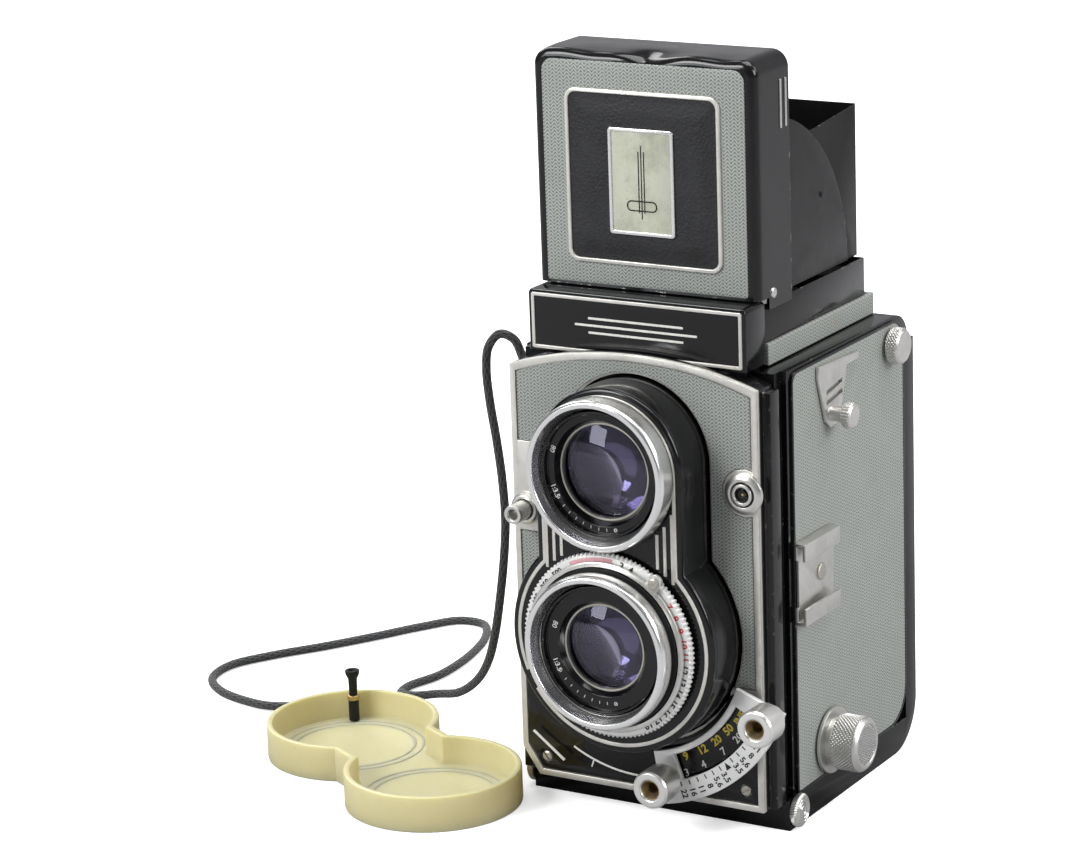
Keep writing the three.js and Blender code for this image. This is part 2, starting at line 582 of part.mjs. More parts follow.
function addSidePanels() {
  const inside = BODY.half + 0.1;
  const outside = inside + LEATHER;
  const shape = () => roundedRect(-27.6, 37.2, 9.4, 122.6, [0.8, 10, 6, 2.5]);
  const right = prismX(shape(), inside, outside)
    .subtract(diskX(SPOOL.bore + 0.6, 30, 50, SUPPLY.y, SUPPLY.z, COARSE))
    .subtract(diskX(2.2, 30, 50, COUNTER.y, COUNTER.z, COARSE));
  add('side_leather_right', right, leather);
  const left = prismX(shape(), -outside, -inside)
    .subtract(diskX(3.6, -50, -30, ADVANCE_Y, ADVANCE_Z, COARSE));
  add('side_leather_left', left, leather);
}

function addSideFittings() {
  const face = BODY.half + LEATHER + 0.3;
  const tongue = outline([[-14.9, 121.6], [8.4, 120.6], [8.4, 118.8], [1.6, 118.6], [-2.6, 106.6],
    [-4.6, 104.4], [-8.4, 104], [-10.8, 106], [-14.9, 118.2]]);
  const slot = (z) => outline([[-10.6, z], [-1.4, z + 1.4], [-1.4, z + 2.6], [-10.6, z + 1.2]]);
  for (const [side, s] of [['right', 1], ['left', -1]]) {
    let lug = prismX(tongue, face, face + 0.9);
    for (const z of [110.4, 113.2]) {
      lug = lug.subtract(prismX(slot(z), face - 1, face + 2));
    }
    const stud = turnedX([[0, face + 0.5], [2, face + 0.5], [2, 44.2], [3.4, 44.6], [3.4, 46.2],
      [2.6, 46.8], [0, 46.8]], -7.6, 107.6, COARSE);
    lug = lug.add(stud);
    if (s < 0) lug = lug.mirror([1, 0, 0]);
    add(`strap_lug_${side}`, lug, silver);
  }
  const [low, high, front, rear] = [55.8, 77.9, -28.9, -8];
  const web = 0.9;
  let shoe = box(face, face + web, front + 1, rear, low + 2, high - 2);
  for (const [z, lip] of [[low, 1], [high, -1]]) {
    const [z0, z1] = [z, z + lip * web].sort((a, b) => a - b);
    const [z2, z3] = [z, z + lip * 4.6].sort((a, b) => a - b);
    shoe = shoe
      .add(box(face, face + 3.4, front, rear - 1, z0, z1))
      .add(box(face + 3.4 - web, face + 3.4, front, rear - 1, z2, z3))
      .add(box(face, face + web, front, rear - 1, z2, z3));
  }
  add('accessory_shoe', shoe, silver);
}

// ---- Hinged back ----
function doorProfile(inset) {
  const { front, rear, top, corner } = DOOR;
  const radius = corner - inset;
  const shape = new THREE.Shape();
  shape.moveTo(front + inset, inset);
  shape.lineTo(rear - corner, inset);
  shape.absarc(rear - corner, corner, radius, -Math.PI / 2, 0, false);
  const [upperEnd, seatY, seatZ] = inset
    ? [top + 5, DOOR.seatY - 5, DOOR.seatZ + 5]
    : [top, DOOR.seatY, DOOR.seatZ];
  shape.lineTo(rear - inset, upperEnd);
  shape.lineTo(seatY, upperEnd);
  shape.lineTo(seatY, seatZ);
  shape.lineTo(front + inset, seatZ);
  shape.closePath();
  return shape;
}

function addDoor() {
  const { half, wall, flange, hingeY, hingeZ } = DOOR;
  const knuckle = diskX(1.7, -19.6, 19.6, hingeY, hingeZ, COARSE)
    .add(box(-19.6, 19.6, DOOR.rear - wall, DOOR.rear - 0.2, DOOR.top - 2, hingeZ));
  const door = prismX(doorProfile(0), -half, half)
    .subtract(prismX(doorProfile(wall), -half + flange, half - flange))
    .add(knuckle)
    .subtract(diskX(0.8 + RUN, -40, 40, hingeY, hingeZ, 16))
    .subtract(diskZ(BUSH.radius + RUN, -1, 3, 0, BUSH.y))
    .subtract(diskX(1.6 + RUN, -60, 60, LATCH.y, LATCH.z, 16));
  add('back_door', door, paint);

  const bush = turnedZ([[BUSH.bore, 0.1], [BUSH.radius, 0.1], [BUSH.radius, wall + GAP],
    [BUSH.radius + 2.4, wall + GAP], [BUSH.radius + 2.4, wall + 1.4], [BUSH.bore + 1.6, wall + 1.4],
    [BUSH.bore + 1.6, 5], [BUSH.bore, 5], [BUSH.bore, 0.1]], 0, BUSH.y, 22);
  add('tripod_bush', bush, silver);

  const plateFront = BODY.rear + 0.2;
  const plate = box(-30, 30, plateFront, plateFront + 1.2, 23, 85)
    .add(diskY(2.6, plateFront + 1, DOOR.rear - wall - 0.9, 0, TAKE_Z, COARSE));
  add('pressure_plate', plate, silver);

  for (const [side, s] of [['right', 1], ['left', -1]]) {
    const face = half + GAP;
    const { radius, length } = LATCH;
    let button = turnedX([[0, half - 3.4], [1.6, half - 3.4], [1.6, face], [radius - 0.4, face],
      [radius, face + 0.4], [radius, face + length - 0.6], [radius - 0.8, face + length],
      [0, face + length]], LATCH.y, LATCH.z, 18);
    if (s < 0) button = button.mirror([1, 0, 0]);
    add(`latch_button_${side}`, button, silver);
  }
}

// ---- Reflex finder and folding hood ----
function addFinder() {
  const back = MIRROR.thickness * Math.SQRT2;
  const { sumZ, front, rear, half } = MIRROR;
  const glassShape = outline([[front, front + sumZ - back], [rear, rear + sumZ - back],
    [rear, rear + sumZ], [front, front + sumZ]]);
  add('reflex_mirror', prismX(glassShape, -half, half), glass);

  const seat = sumZ - back - GAP * Math.SQRT2;
  const sheet = 0.8 * Math.SQRT2;
  const outerShape = outline([[BOX.front, BOX.front + seat - sheet], [BOX.rear, BOX.rear + seat - sheet],
    [BOX.rear, BOX.top], [BOX.front, BOX.top]]);
  const innerShape = outline([[BOX.front - 5, BOX.front - 5 + seat],
    [BOX.rear - BOX.wall, BOX.rear - BOX.wall + seat], [BOX.rear - BOX.wall, BOX.top + 5],
    [BOX.front - 5, BOX.top + 5]]);
  const innerHalf = BOX.outer - BOX.wall;
  let mirrorBox = prismX(outerShape, -BOX.outer, BOX.outer)
    .subtract(prismX(innerShape, -innerHalf, innerHalf));
  for (const s of [-1, 1]) {
    const [low, high] = [s * (innerHalf - 1.6), s * (innerHalf + 0.2)].sort((a, b) => a - b);
    mirrorBox = mirrorBox.add(box(low, high, BOX.front, BOX.rear - 2.2, 128.2, 128.9));
  }
  add('mirror_box', mirrorBox, mattBlack);
  add('focusing_screen', box(-innerHalf + GAP, innerHalf - GAP, BOX.front + 0.2,
    BOX.rear - BOX.wall - GAP, 129.2, 130.4), glass);
}

function openFrame(outer, inner, front, rear, wall, bottom, top) {
  return box(-outer, outer, front, rear, bottom, top)
    .subtract(box(-inner, inner, front - 1, rear - wall, bottom - 1, top + 1));
}

function addHoodBase() {
  add('hood_step', openFrame(STEP.outer, STEP.inner, STEP.front, STEP.rear,
    STEP.outer - STEP.inner, BODY.top + 0.2, STEP.top), leather);
  add('hood_base', openFrame(BASE.outer, BASE.outer - BASE.sheet, NAME.rear + GAP, BASE.rear,
    BASE.sheet, STEP.top + 0.2, BASE.top), paint);
  const { half, front, rear, bottom, top, wall } = NAME;
  const shell = prismY(roundedRect(-half, half, bottom, top, [0, 0, 1.6, 1.6]), front, rear)
    .subtract(box(-half + wall, half - wall, front + 2, 0, 0, top - 1.4));
  add('nameplate', shell, plastic);
}

function addLid() {
  const { outer, side, front, plate, edge, bottom, foot, top, corner, pivotY } = LID;
  const skin = prismY(roundedRect(-outer, outer, foot, top, [0, 0, corner, corner]), front, edge)
    .subtract(prismY(roundedRect(-outer + side, outer - side, foot - 2, top - side,
      [0, 0, corner - side, corner - side]), front + plate, 0))
    .subtract(box(-50, 50, -60, pivotY - 2.2, 0, bottom));
  add('hood_lid', skin, paint);
  add('lid_badge', prismY(roundedRect(-9.5, 9.5, 157, 184.8, [0.8, 0.8, 0.8, 0.8]),
    front - 1, front - 0.1), silver);

  for (const [name, s] of [['right', 1], ['left', -1]]) {
    const shape = new THREE.Shape();
    shape.moveTo(pivotY - 3.4, LID.pivotZ + 1.4);
    shape.lineTo(pivotY, LID.pivotZ + 0.2);
    shape.lineTo(pivotY + WING.radius, LID.pivotZ + 0.2);
    shape.absarc(pivotY, LID.pivotZ, WING.radius, 0.006, Math.PI / 2, false);
    shape.lineTo(pivotY - 3.4, LID.pivotZ + WING.radius - 1);
    shape.closePath();
    let wing = prismX(shape, WING.outside - WING.sheet, WING.outside, 16);
    if (s < 0) wing = wing.mirror([1, 0, 0]);
    add(`hood_wing_${name}`, wing, mattBlack);
  }
}

function addRearPanel() {
  const { outside, sheet, plate, pivotY, pivotZ, height, reach, drop } = REAR;
  const top = pivotZ + height;
  const start = pivotZ + 0.7;
  const inner = outside - sheet;
  const tray = box(-outside, outside, reach, pivotY, start, top)
    .subtract(box(-inner, inner, reach - 1, pivotY - plate, start - 1, top + 1));
  const slope = outline([[pivotY - plate, top + 1], [pivotY - plate, top - 0.2], [reach - 1, top - drop],
    [reach - 1, top + 1]]);
  const keepOff = diskX(WING.radius - 1.2, -60, 60, LID.pivotY, LID.pivotZ, 64);
  add('hood_rear_panel', tray.subtract(keepOff).subtract(prismX(slope, -60, 60)), mattBlack);
}

function addMagnifier() {
  const inside = LID.front + LID.plate + GAP;
  const low = 180;
  const high = 201;
  const centre = low + 11.5;
  const frame = box(-12, 12, inside, inside + 1.2, low, high)
    .subtract(diskY(8.2, -60, 0, 0, centre, 20))
    .add(turnedY([[8, inside + 0.1], [8.6, inside + 0.1], [8.6, inside + 2.6], [8, inside + 2.6],
      [8, inside + 0.1]], 0, centre, 20))
    .add(turnedY([[0, inside + 0.5], [8.3, inside + 0.9], [8.3, inside + 1.6], [4, inside + 2.3],
      [0, inside + 2.5]], 0, centre, 20));
  add('hood_magnifier', frame, mattBlack);
}

// ---- Lens cap on its cord, laid on the table ----
const lensGap = VIEW_Z - TAKE_Z;
const capTurn = rad(CAP.turn);

// The figure-of-eight outline of the cap, pulled in by inset, along +X from its first circle.
function capOutline(inset) {
  const radius = CAP.radius - inset;
  const waist = Math.acos(lensGap / 2 / (radius + 6));
  const shape = new THREE.Shape();
  shape.absarc(0, 0, radius, waist, 2 * Math.PI - waist, false);
  shape.absarc(lensGap, 0, radius, Math.PI + waist, Math.PI - waist, false);
  shape.closePath();
  return shape;
}

function capPoint(along, across, z) {
  const x = CAP.centreX + along * Math.cos(capTurn) - across * Math.sin(capTurn);
  const y = CAP.centreY + along * Math.sin(capTurn) + across * Math.cos(capTurn);
  return new THREE.Vector3(x, y, z);
}

const holeAngle = rad(-28);
const ferruleReach = CAP.radius - CAP.wall - 2.4;
const ferruleAlong = lensGap + ferruleReach * Math.cos(holeAngle);
const ferruleAcross = ferruleReach * Math.sin(holeAngle);

function addCap() {
  const hole = turnedX([[0, 0], [CORD.radius + GAP, 0], [CORD.radius + GAP, 12], [0, 12]], 0, 0, 16)
    .translate(ferruleReach - 2, 0, CAP.floor + 2.4)
    .rotate([0, 0, -28])
    .translate(lensGap, 0, 0);
  const cap = prismZ(capOutline(0), 0, CAP.depth, 16)
    .subtract(prismZ(capOutline(CAP.wall), CAP.floor, CAP.depth + 5, 16))
    .subtract(hole);
  const piece = add('lens_cap', cap, capPlastic);
  piece.position.set(CAP.centreX, CAP.centreY, 0);
  piece.rotation.z = capTurn;

  const foot = capPoint(ferruleAlong, ferruleAcross, 0);
  const ferrule = turnedZ([[0, CAP.floor + GAP], [1.5, CAP.floor + GAP], [1.5, 15.6], [2.1, 17.2],
    [0, 17.2]], foot.x, foot.y, 16);
  add('cord_ferrule', ferrule, cordBlack);
}

function addCord() {
  const entry = capPoint(ferruleAlong + 2.2, ferruleAcross - 1.1, CAP.floor + 2.4);
  const outside = capPoint(ferruleAlong + 7.5, ferruleAcross - 4, CAP.floor + 2);
  const points = [
    [-47.2, -7.6, 107.6], [-50, -7.8, 108.6], [-52.8, -8.2, 112.6], [-55, -9.5, 118.5],
    [-58.5, -11, 120], [-61.6, -12, 116.4],
    [-62.6, -12, 110], [-61.9, -12, 101], [-60.2, -12, 90], [-58.9, -12, 79], [-58.4, -12, 67],
    [-59.4, -12, 55.7], [-61.4, -11.6, 44], [-64.4, -10, 33], [-69.5, -6, 23], [-77.5, 0, 14],
    [-87, 5, 7.4], [-96.5, 8.5, 4.4], [-105, 8.4, 2.6], [-111, 11.4, 1.6], [-112.4, 18, 1.4],
    [-109.5, 30, 1.4], [-110.5, 48, 1.4], [-115.5, 66, 1.4], [-122.5, 76, 1.4], [-131, 76, 1.4],
    [-138.5, 66, 1.4], [-146.5, 52, 1.4], [-155.5, 37.5, 1.4], [-165, 24, 1.4], [-171.4, 11, 1.4],
    [-169.6, -1, 1.4], [-160.5, -9.5, 1.4], [-148, -13.6, 1.4], [-138, -14.6, 1.8],
  ].map((point) => new THREE.Vector3(...point));
  points.push(outside, entry);
  const route = new THREE.CatmullRomCurve3(points, false, 'centripetal');
  const section = new THREE.Shape();
  for (let i = 0; i < CORD.sides; i += 1) {
    const angle = 2 * Math.PI * (i + 0.5) / CORD.sides;
    const place = [CORD.radius * Math.cos(angle), CORD.radius * Math.sin(angle)];
    if (i) section.lineTo(...place);
    else section.moveTo(...place);
  }
  section.closePath();
  const tube = new THREE.ExtrudeGeometry(section, { steps: CORD.steps, extrudePath: route });
  add('cap_cord', solid(tube), cordBlack);
}

addFront();
addHousing();
addLenses();
addFocusLever();
addCasting();
addFilmParts();
addAdvance();
addRightKnobs();
addSidePanels();
addSideFittings();
addDoor();
addFinder();
addHoodBase();
addLid();
addRearPanel();
addMagnifier();
addCap();
addCord();

export default camera;
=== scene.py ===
"""The looks of a twin lens reflex camera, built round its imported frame.

Shapes are given in millimetres in the row frame and turned into metres when a mesh is made.
+Z is up, the lenses face -Y, and +X is on the right when the camera is seen from the front.
"""

from contextlib import contextmanager
import math

import bmesh
import bpy
import numpy as np
from mathutils import Matrix, Vector


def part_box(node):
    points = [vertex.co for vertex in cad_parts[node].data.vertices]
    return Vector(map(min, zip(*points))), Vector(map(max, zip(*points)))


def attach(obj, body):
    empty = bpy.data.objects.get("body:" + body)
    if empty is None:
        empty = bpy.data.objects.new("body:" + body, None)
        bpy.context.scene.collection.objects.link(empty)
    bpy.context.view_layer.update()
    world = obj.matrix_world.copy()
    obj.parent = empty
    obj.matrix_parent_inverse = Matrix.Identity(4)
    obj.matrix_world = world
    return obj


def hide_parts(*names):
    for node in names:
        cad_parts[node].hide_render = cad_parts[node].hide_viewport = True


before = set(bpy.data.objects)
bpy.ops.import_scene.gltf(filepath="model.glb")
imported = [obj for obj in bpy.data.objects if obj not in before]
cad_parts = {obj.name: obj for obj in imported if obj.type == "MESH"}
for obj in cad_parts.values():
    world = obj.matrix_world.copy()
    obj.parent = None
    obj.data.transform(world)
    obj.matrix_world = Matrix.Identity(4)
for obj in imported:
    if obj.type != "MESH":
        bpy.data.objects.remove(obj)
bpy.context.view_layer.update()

MM = 0.001
TAU = 2 * math.pi


def rad(degrees):
    return math.radians(degrees)


def low(node):
    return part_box(node)[0] / MM


def high(node):
    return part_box(node)[1] / MM


def middle(node):
    return (low(node) + high(node)) / 2


VIEW_Z = middle("viewing_barrel").z
TAKE_Z = middle("taking_barrel").z
SIDES = (("right", 1), ("left", -1))
SIDE_FACE = 39.7  # the face that the side knobs turn on, from the middle
LUG_AT = (-7.6, 107.6)  # y and z of the strap lugs
HINGE_AT = (42.6, 118.6)  # y and z of the door's hinge
HOOD_RIVET_AT = (-24.5, 142.9)  # y and z of the rivets that the hood's lid turns on

# ---------------------------------------------------------------- materials


class Graph:
    """A node material. Inputs are given as constants or as sockets of other nodes."""

    def __init__(self, name):
        self.material = bpy.data.materials.new(name)
        self.material.use_nodes = True
        self.tree = self.material.node_tree
        self.tree.nodes.clear()
        self.out = self.tree.nodes.new("ShaderNodeOutputMaterial")

    def add(self, kind, settings=None, inputs=None):
        node = self.tree.nodes.new("ShaderNode" + kind)
        for key, value in (settings or {}).items():
            setattr(node, key, value)
        for key, value in (inputs or {}).items():
            socket = node.inputs[key]
            if isinstance(value, bpy.types.NodeSocket):
                self.tree.links.new(value, socket)
            else:
                socket.default_value = value
        return node

    def math(self, operation, a, b=0.0, c=None):
        inputs = {0: a, 1: b}
        if c is not None:
            inputs[2] = c
        return self.add("Math", {"operation": operation}, inputs).outputs[0]

    def place(self):
        return self.add("TexCoord").outputs["Object"]

    def split(self, vector):
        return self.add("SeparateXYZ", None, {0: vector}).outputs

    def noise(self, scale, detail=3.0, roughness=0.55, vector=None, stretch=None):
        vector = vector or self.place()
        if stretch:
            vector = self.add("VectorMath", {"operation": "MULTIPLY"}, {0: vector, 1: stretch})
            vector = vector.outputs[0]
        inputs = {"Vector": vector, "Scale": scale, "Detail": detail, "Roughness": roughness}
        return self.add("TexNoise", None, inputs).outputs[0]

    def remap(self, value, low_in, high_in, low_out=0.0, high_out=1.0):
        inputs = {0: value, 1: low_in, 2: high_in, 3: low_out, 4: high_out}
        return self.add("MapRange", {"clamp": True}, inputs).outputs[0]

    def mix(self, share, a, b):
        node = self.add("Mix", {"data_type": "RGBA"}, {0: share})
        for index, value in ((6, a), (7, b)):
            if isinstance(value, bpy.types.NodeSocket):
                self.tree.links.new(value, node.inputs[index])
            else:
                node.inputs[index].default_value = (*value, 1.0)
        return node.outputs[2]

    def bump(self, height, distance, strength=1.0, normal=None):
        inputs = {"Height": height, "Distance": distance * MM, "Strength": strength}
        if normal:
            inputs["Normal"] = normal
        return self.add("Bump", None, inputs).outputs[0]

    def edge(self, radius, sharp=0.985, worn=0.9):
        """1 on edges tighter than the radius in mm, 0 on the flats."""
        round_normal = self.add("Bevel", {"samples": 6}, {"Radius": radius * MM}).outputs[0]
        flat_normal = self.add("NewGeometry").outputs["Normal"]
        dot = self.add("VectorMath", {"operation": "DOT_PRODUCT"}, {0: round_normal, 1: flat_normal})
        return self.remap(dot.outputs["Value"], sharp, worn)

    def finish(self, **inputs):
        values = {}
        for key, value in inputs.items():
            if isinstance(value, tuple) and "Radius" not in key:
                value = (*value, 1.0)
            values[key.replace("_", " ")] = value
        shader = self.add("BsdfPrincipled", None, values)
        self.tree.links.new(shader.outputs[0], self.out.inputs[0])
        return self.material


def paint_material(name, colour, roughness, bare, amount, dust=0.3, coat=0.3):
    """Enamel with chips along its edges that show bare metal, fine scratches and a little dust."""
    g = Graph(name)
    edge = g.edge(0.7)
    chip = g.remap(g.noise(420, 6, 0.7), 0.62 - amount, 0.66 - amount)
    worn = g.math("MULTIPLY", edge, chip)
    speck = g.remap(g.noise(1100, 2, 0.5), 0.70, 0.74, 0, 0.4)
    film = g.remap(g.noise(60, 5, 0.65), 0.45, 0.8, 0, dust)
    base = g.mix(film, colour, (0.022, 0.0215, 0.020))
    base = g.mix(g.math("MULTIPLY", speck, film), base, (0.30, 0.29, 0.26))
    base = g.mix(worn, base, bare)
    scratch = g.noise(160, 5, 0.65)
    rough = g.remap(scratch, 0.3, 0.75, roughness - 0.03, roughness + 0.06)
    ripple = g.bump(g.noise(260, 3, 0.5), 0.012, 0.4)
    normal = g.bump(worn, 0.05, -0.8, ripple)
    return g.finish(Base_Color=base, Metallic=g.math("MULTIPLY", worn, 0.8), Roughness=rough,
                    Normal=normal, Specular_IOR_Level=0.27, Coat_Weight=coat, Coat_Roughness=0.06)


def metal_material(name, colour, roughness, grime=0.45, brushed=(1.0, 1.0, 1.0), tint=(0.30, 0.25, 0.17),
                   relief=0.006, spread=1.0, metallic=0.96):
    """Plated metal with brush marks, dulled patches, small pits and grime in random patches."""
    g = Graph(name)
    patch = g.noise(95, 6, 0.68)
    dull = g.remap(patch, 0.42, 0.72)
    pit = g.remap(g.noise(1500, 2, 0.6), 0.66, 0.74)
    base = g.mix(g.math("MULTIPLY", dull, grime), colour, tuple(c * 0.62 for c in colour))
    base = g.mix(g.math("MULTIPLY", pit, grime), base, tint)
    brush = g.noise(700, 4, 0.7, stretch=brushed)
    rough = g.remap(brush, 0.25, 0.75, roughness - 0.06 * spread, roughness + 0.12 * spread)
    rough = g.math("ADD", rough, g.math("MULTIPLY", dull, 0.25 * grime))
    normal = g.bump(brush, relief, 0.3)
    return g.finish(Base_Color=base, Metallic=metallic, Roughness=rough, Normal=normal)


def leatherette_material(name):
    """Grey covering pressed with narrow upright columns of slanted ribs, stained near its top."""
    column_width, rib_height = 1.05 * MM, 0.95 * MM
    g = Graph(name)
    x, y, z = g.split(g.place())
    across = g.math("ADD", x, y)
    column = g.math("DIVIDE", across, column_width)
    zigzag = g.math("PINGPONG", column, 1.0)
    slant = g.math("ADD", g.math("DIVIDE", z, rib_height), g.math("MULTIPLY", zigzag, 1.1))
    rib = g.math("PINGPONG", slant, 0.5)
    valley = g.math("PINGPONG", column, 0.5)
    relief = g.math("ADD", g.math("MULTIPLY", rib, 1.5), g.math("MULTIPLY", valley, 0.5))
    relief = g.math("ADD", relief, g.math("MULTIPLY", g.noise(3500, 2), 0.25))
    shade = g.remap(relief, 0.15, 0.75)
    patch = g.noise(40, 5, 0.6)
    light = g.mix(patch, (0.335, 0.355, 0.332), (0.420, 0.440, 0.412))
    base = g.mix(shade, (0.070, 0.078, 0.070), light)
    stain = g.remap(g.noise(120, 5, 0.7), 0.62, 0.72, 0, 0.55)
    top = g.remap(z, 0.112, 0.121)
    base = g.mix(g.math("MULTIPLY", stain, top), base, (0.38, 0.27, 0.10))
    grime = g.remap(g.noise(75, 6, 0.7), 0.56, 0.78, 0, 0.35)
    base = g.mix(grime, base, (0.20, 0.20, 0.175))
    rough = g.remap(g.noise(90, 3), 0.3, 0.7, 0.42, 0.6)
    normal = g.bump(relief, 0.10, 0.75)
    return g.finish(Base_Color=base, Roughness=rough, Normal=normal, Specular_IOR_Level=0.45)


def velvet_material(name):
    """Dark pebbled covering with pale flecks."""
    g = Graph(name)
    grain = g.add("TexVoronoi", {"feature": "F1"}, {"Vector": g.place(), "Scale": 1300.0}).outputs[0]
    fine = g.noise(2400, 4, 0.7)
    patch = g.remap(g.noise(90, 5, 0.7), 0.4, 0.75)
    base = g.mix(g.math("MULTIPLY", patch, fine), (0.005, 0.005, 0.006), (0.040, 0.041, 0.046))
    fleck = g.remap(fine, 0.66, 0.72, 0, 0.35)
    base = g.mix(fleck, base, (0.13, 0.13, 0.13))
    normal = g.bump(grain, 0.16, 0.9, g.bump(fine, 0.05, 0.5))
    return g.finish(Base_Color=base, Roughness=g.remap(patch, 0, 1, 0.62, 0.8), Normal=normal)


def glass_material(name, tint):
    """Clear coated glass: clear straight on, with a coloured sheen where it reflects."""
    g = Graph(name)
    fresnel = g.add("Fresnel", None, {"IOR": 1.75}).outputs[0]
    clear = g.add("BsdfTransparent", None, {"Color": (0.90, 0.90, 0.95, 1)})
    smear = g.remap(g.noise(160, 4, 0.6), 0.35, 0.8, 0.0, 0.05)
    sheen = g.add("BsdfGlossy", None, {"Color": (*tint, 1), "Roughness": smear})
    share = g.math("MULTIPLY", fresnel, 0.9)
    mixed = g.add("MixShader", None, {0: share, 1: clear.outputs[0], 2: sheen.outputs[0]})
    g.tree.links.new(mixed.outputs[0], g.out.inputs[0])
    return g.material


def coated_material(name, colour, roughness):
    """A dark inner lens face whose coating mirrors in one colour."""
    g = Graph(name)
    depth = g.noise(45, 3)
    base = g.mix(depth, colour, tuple(c * 0.5 for c in colour))
    return g.finish(Base_Color=base, Metallic=0.85, Roughness=roughness)


def cap_material(name):
    """Aged, cloudy yellow plastic that lets some light through."""
    g = Graph(name)
    cloud = g.noise(45, 5, 0.6)
    base = g.mix(cloud, (0.62, 0.565, 0.30), (0.71, 0.665, 0.42))
    dirt = g.remap(g.noise(160, 6, 0.7), 0.60, 0.78, 0, 0.4)
    base = g.mix(dirt, base, (0.54, 0.46, 0.22))
    scratch = g.noise(900, 4, 0.7, stretch=(1.0, 6.0, 1.0))
    rough = g.remap(scratch, 0.3, 0.75, 0.26, 0.46)
    normal = g.bump(scratch, 0.03, 0.4)
    return g.finish(Base_Color=base, Roughness=rough, Normal=normal, Subsurface_Weight=0.75,
                    Subsurface_Radius=(1.0, 0.85, 0.4), Subsurface_Scale=0.004,
                    Transmission_Weight=0.12, IOR=1.46)


def braid_material(name):
    """Black braided cord. The surface's first coordinate goes round it, the second along it."""
    g = Graph(name)
    u, v, _ = g.split(g.add("UVMap").outputs[0])
    strands = g.math("MULTIPLY", u, 8.0)
    leans = [g.math(lean, strands, v) for lean in ("ADD", "SUBTRACT")]
    weave = g.math("MAXIMUM", *[g.math("SINE", g.math("MULTIPLY", lean, TAU)) for lean in leans])
    shade = g.remap(weave, -0.2, 1.0)
    base = g.mix(shade, (0.006, 0.006, 0.007), (0.035, 0.036, 0.038))
    fuzz = g.noise(3000, 3, 0.7)
    normal = g.bump(weave, 0.18, 0.9, g.bump(fuzz, 0.06, 0.5))
    return g.finish(Base_Color=base, Roughness=0.62, Normal=normal, Sheen_Weight=0.3)


def print_material(name, colour):
    """Printed or filled marks, slightly uneven."""
    g = Graph(name)
    worn = g.remap(g.noise(1200, 4, 0.7), 0.35, 0.75)
    base = g.mix(worn, colour, tuple(c * 0.72 for c in colour))
    return g.finish(Base_Color=base, Roughness=g.remap(worn, 0, 1, 0.4, 0.6))


def mirror_material(name):
    """Silvered glass with a slight haze."""
    g = Graph(name)
    haze = g.remap(g.noise(120, 4), 0.3, 0.8, 0.01, 0.08)
    return g.finish(Base_Color=(0.86, 0.88, 0.88), Metallic=1.0, Roughness=haze)


def screen_material(name):
    """Ground glass, grained and partly clear."""
    g = Graph(name)
    grain = g.noise(5000, 2)
    return g.finish(Base_Color=g.mix(grain, (0.55, 0.57, 0.55), (0.66, 0.68, 0.65)), Roughness=0.5,
                    Normal=g.bump(grain, 0.02, 0.5), Transmission_Weight=0.4)


GLOSS = paint_material("gloss_enamel", (0.0030, 0.0030, 0.0036), 0.16, (0.42, 0.40, 0.36), 0.01, 0.10)
WORN = paint_material("worn_enamel", (0.0034, 0.0034, 0.0040), 0.20, (0.50, 0.47, 0.42), 0.05, 0.18)
MATT = paint_material("matt_lacquer", (0.0070, 0.0070, 0.0076), 0.46, (0.30, 0.29, 0.27), 0.0, 0.22, 0.0)
SHEET = paint_material("hood_lacquer", (0.0058, 0.0058, 0.0064), 0.33, (0.30, 0.29, 0.27), 0.02, 0.22, 0.0)
SILVER = metal_material("satin_plate", (0.70, 0.69, 0.66), 0.30, 0.55)
TRIM = metal_material("worn_trim", (0.74, 0.72, 0.67), 0.34, 0.7, metallic=0.8)
BRIGHT = metal_material("bright_plate", (0.84, 0.84, 0.83), 0.25, 0.04, relief=0.0, spread=0.15)
DIAL = metal_material("dial_plate", (0.83, 0.83, 0.81), 0.38, 0.12, relief=0.001, spread=0.3, metallic=0.45)
KNOB = metal_material("knob_plate", (0.84, 0.83, 0.80), 0.28, 0.2, relief=0.001, spread=0.3, metallic=0.88)
CONE = metal_material("dark_brass", (0.30, 0.23, 0.13), 0.38, 0.7)
BRASS = metal_material("brass", (0.58, 0.42, 0.19), 0.34, 0.5)
TIN = metal_material("dull_nickel", (0.52, 0.50, 0.44), 0.40, 0.7)
AGED = metal_material("aged_badge", (0.60, 0.61, 0.50), 0.50, 0.75, (1.0, 1.0, 0.05), (0.24, 0.22, 0.14))
LEATHER = leatherette_material("grey_leatherette")
VELVET = velvet_material("dark_covering")
GLASS = glass_material("coated_glass", (0.52, 0.50, 0.60))
INNER = coated_material("inner_glass", (0.030, 0.020, 0.031), 0.05)
CAP = cap_material("aged_cap_plastic")
BRAID = braid_material("braid")
WHITE = print_material("white_marks", (0.80, 0.79, 0.74))
BLACK = print_material("black_marks", (0.012, 0.012, 0.012))
YELLOW = print_material("yellow_marks", (0.78, 0.60, 0.05))
RED = print_material("red_marks", (0.55, 0.05, 0.05))
PINK = print_material("pink_marks", (0.78, 0.42, 0.46))
MIRROR = mirror_material("silvered_glass")
SCREEN = screen_material("ground_screen")

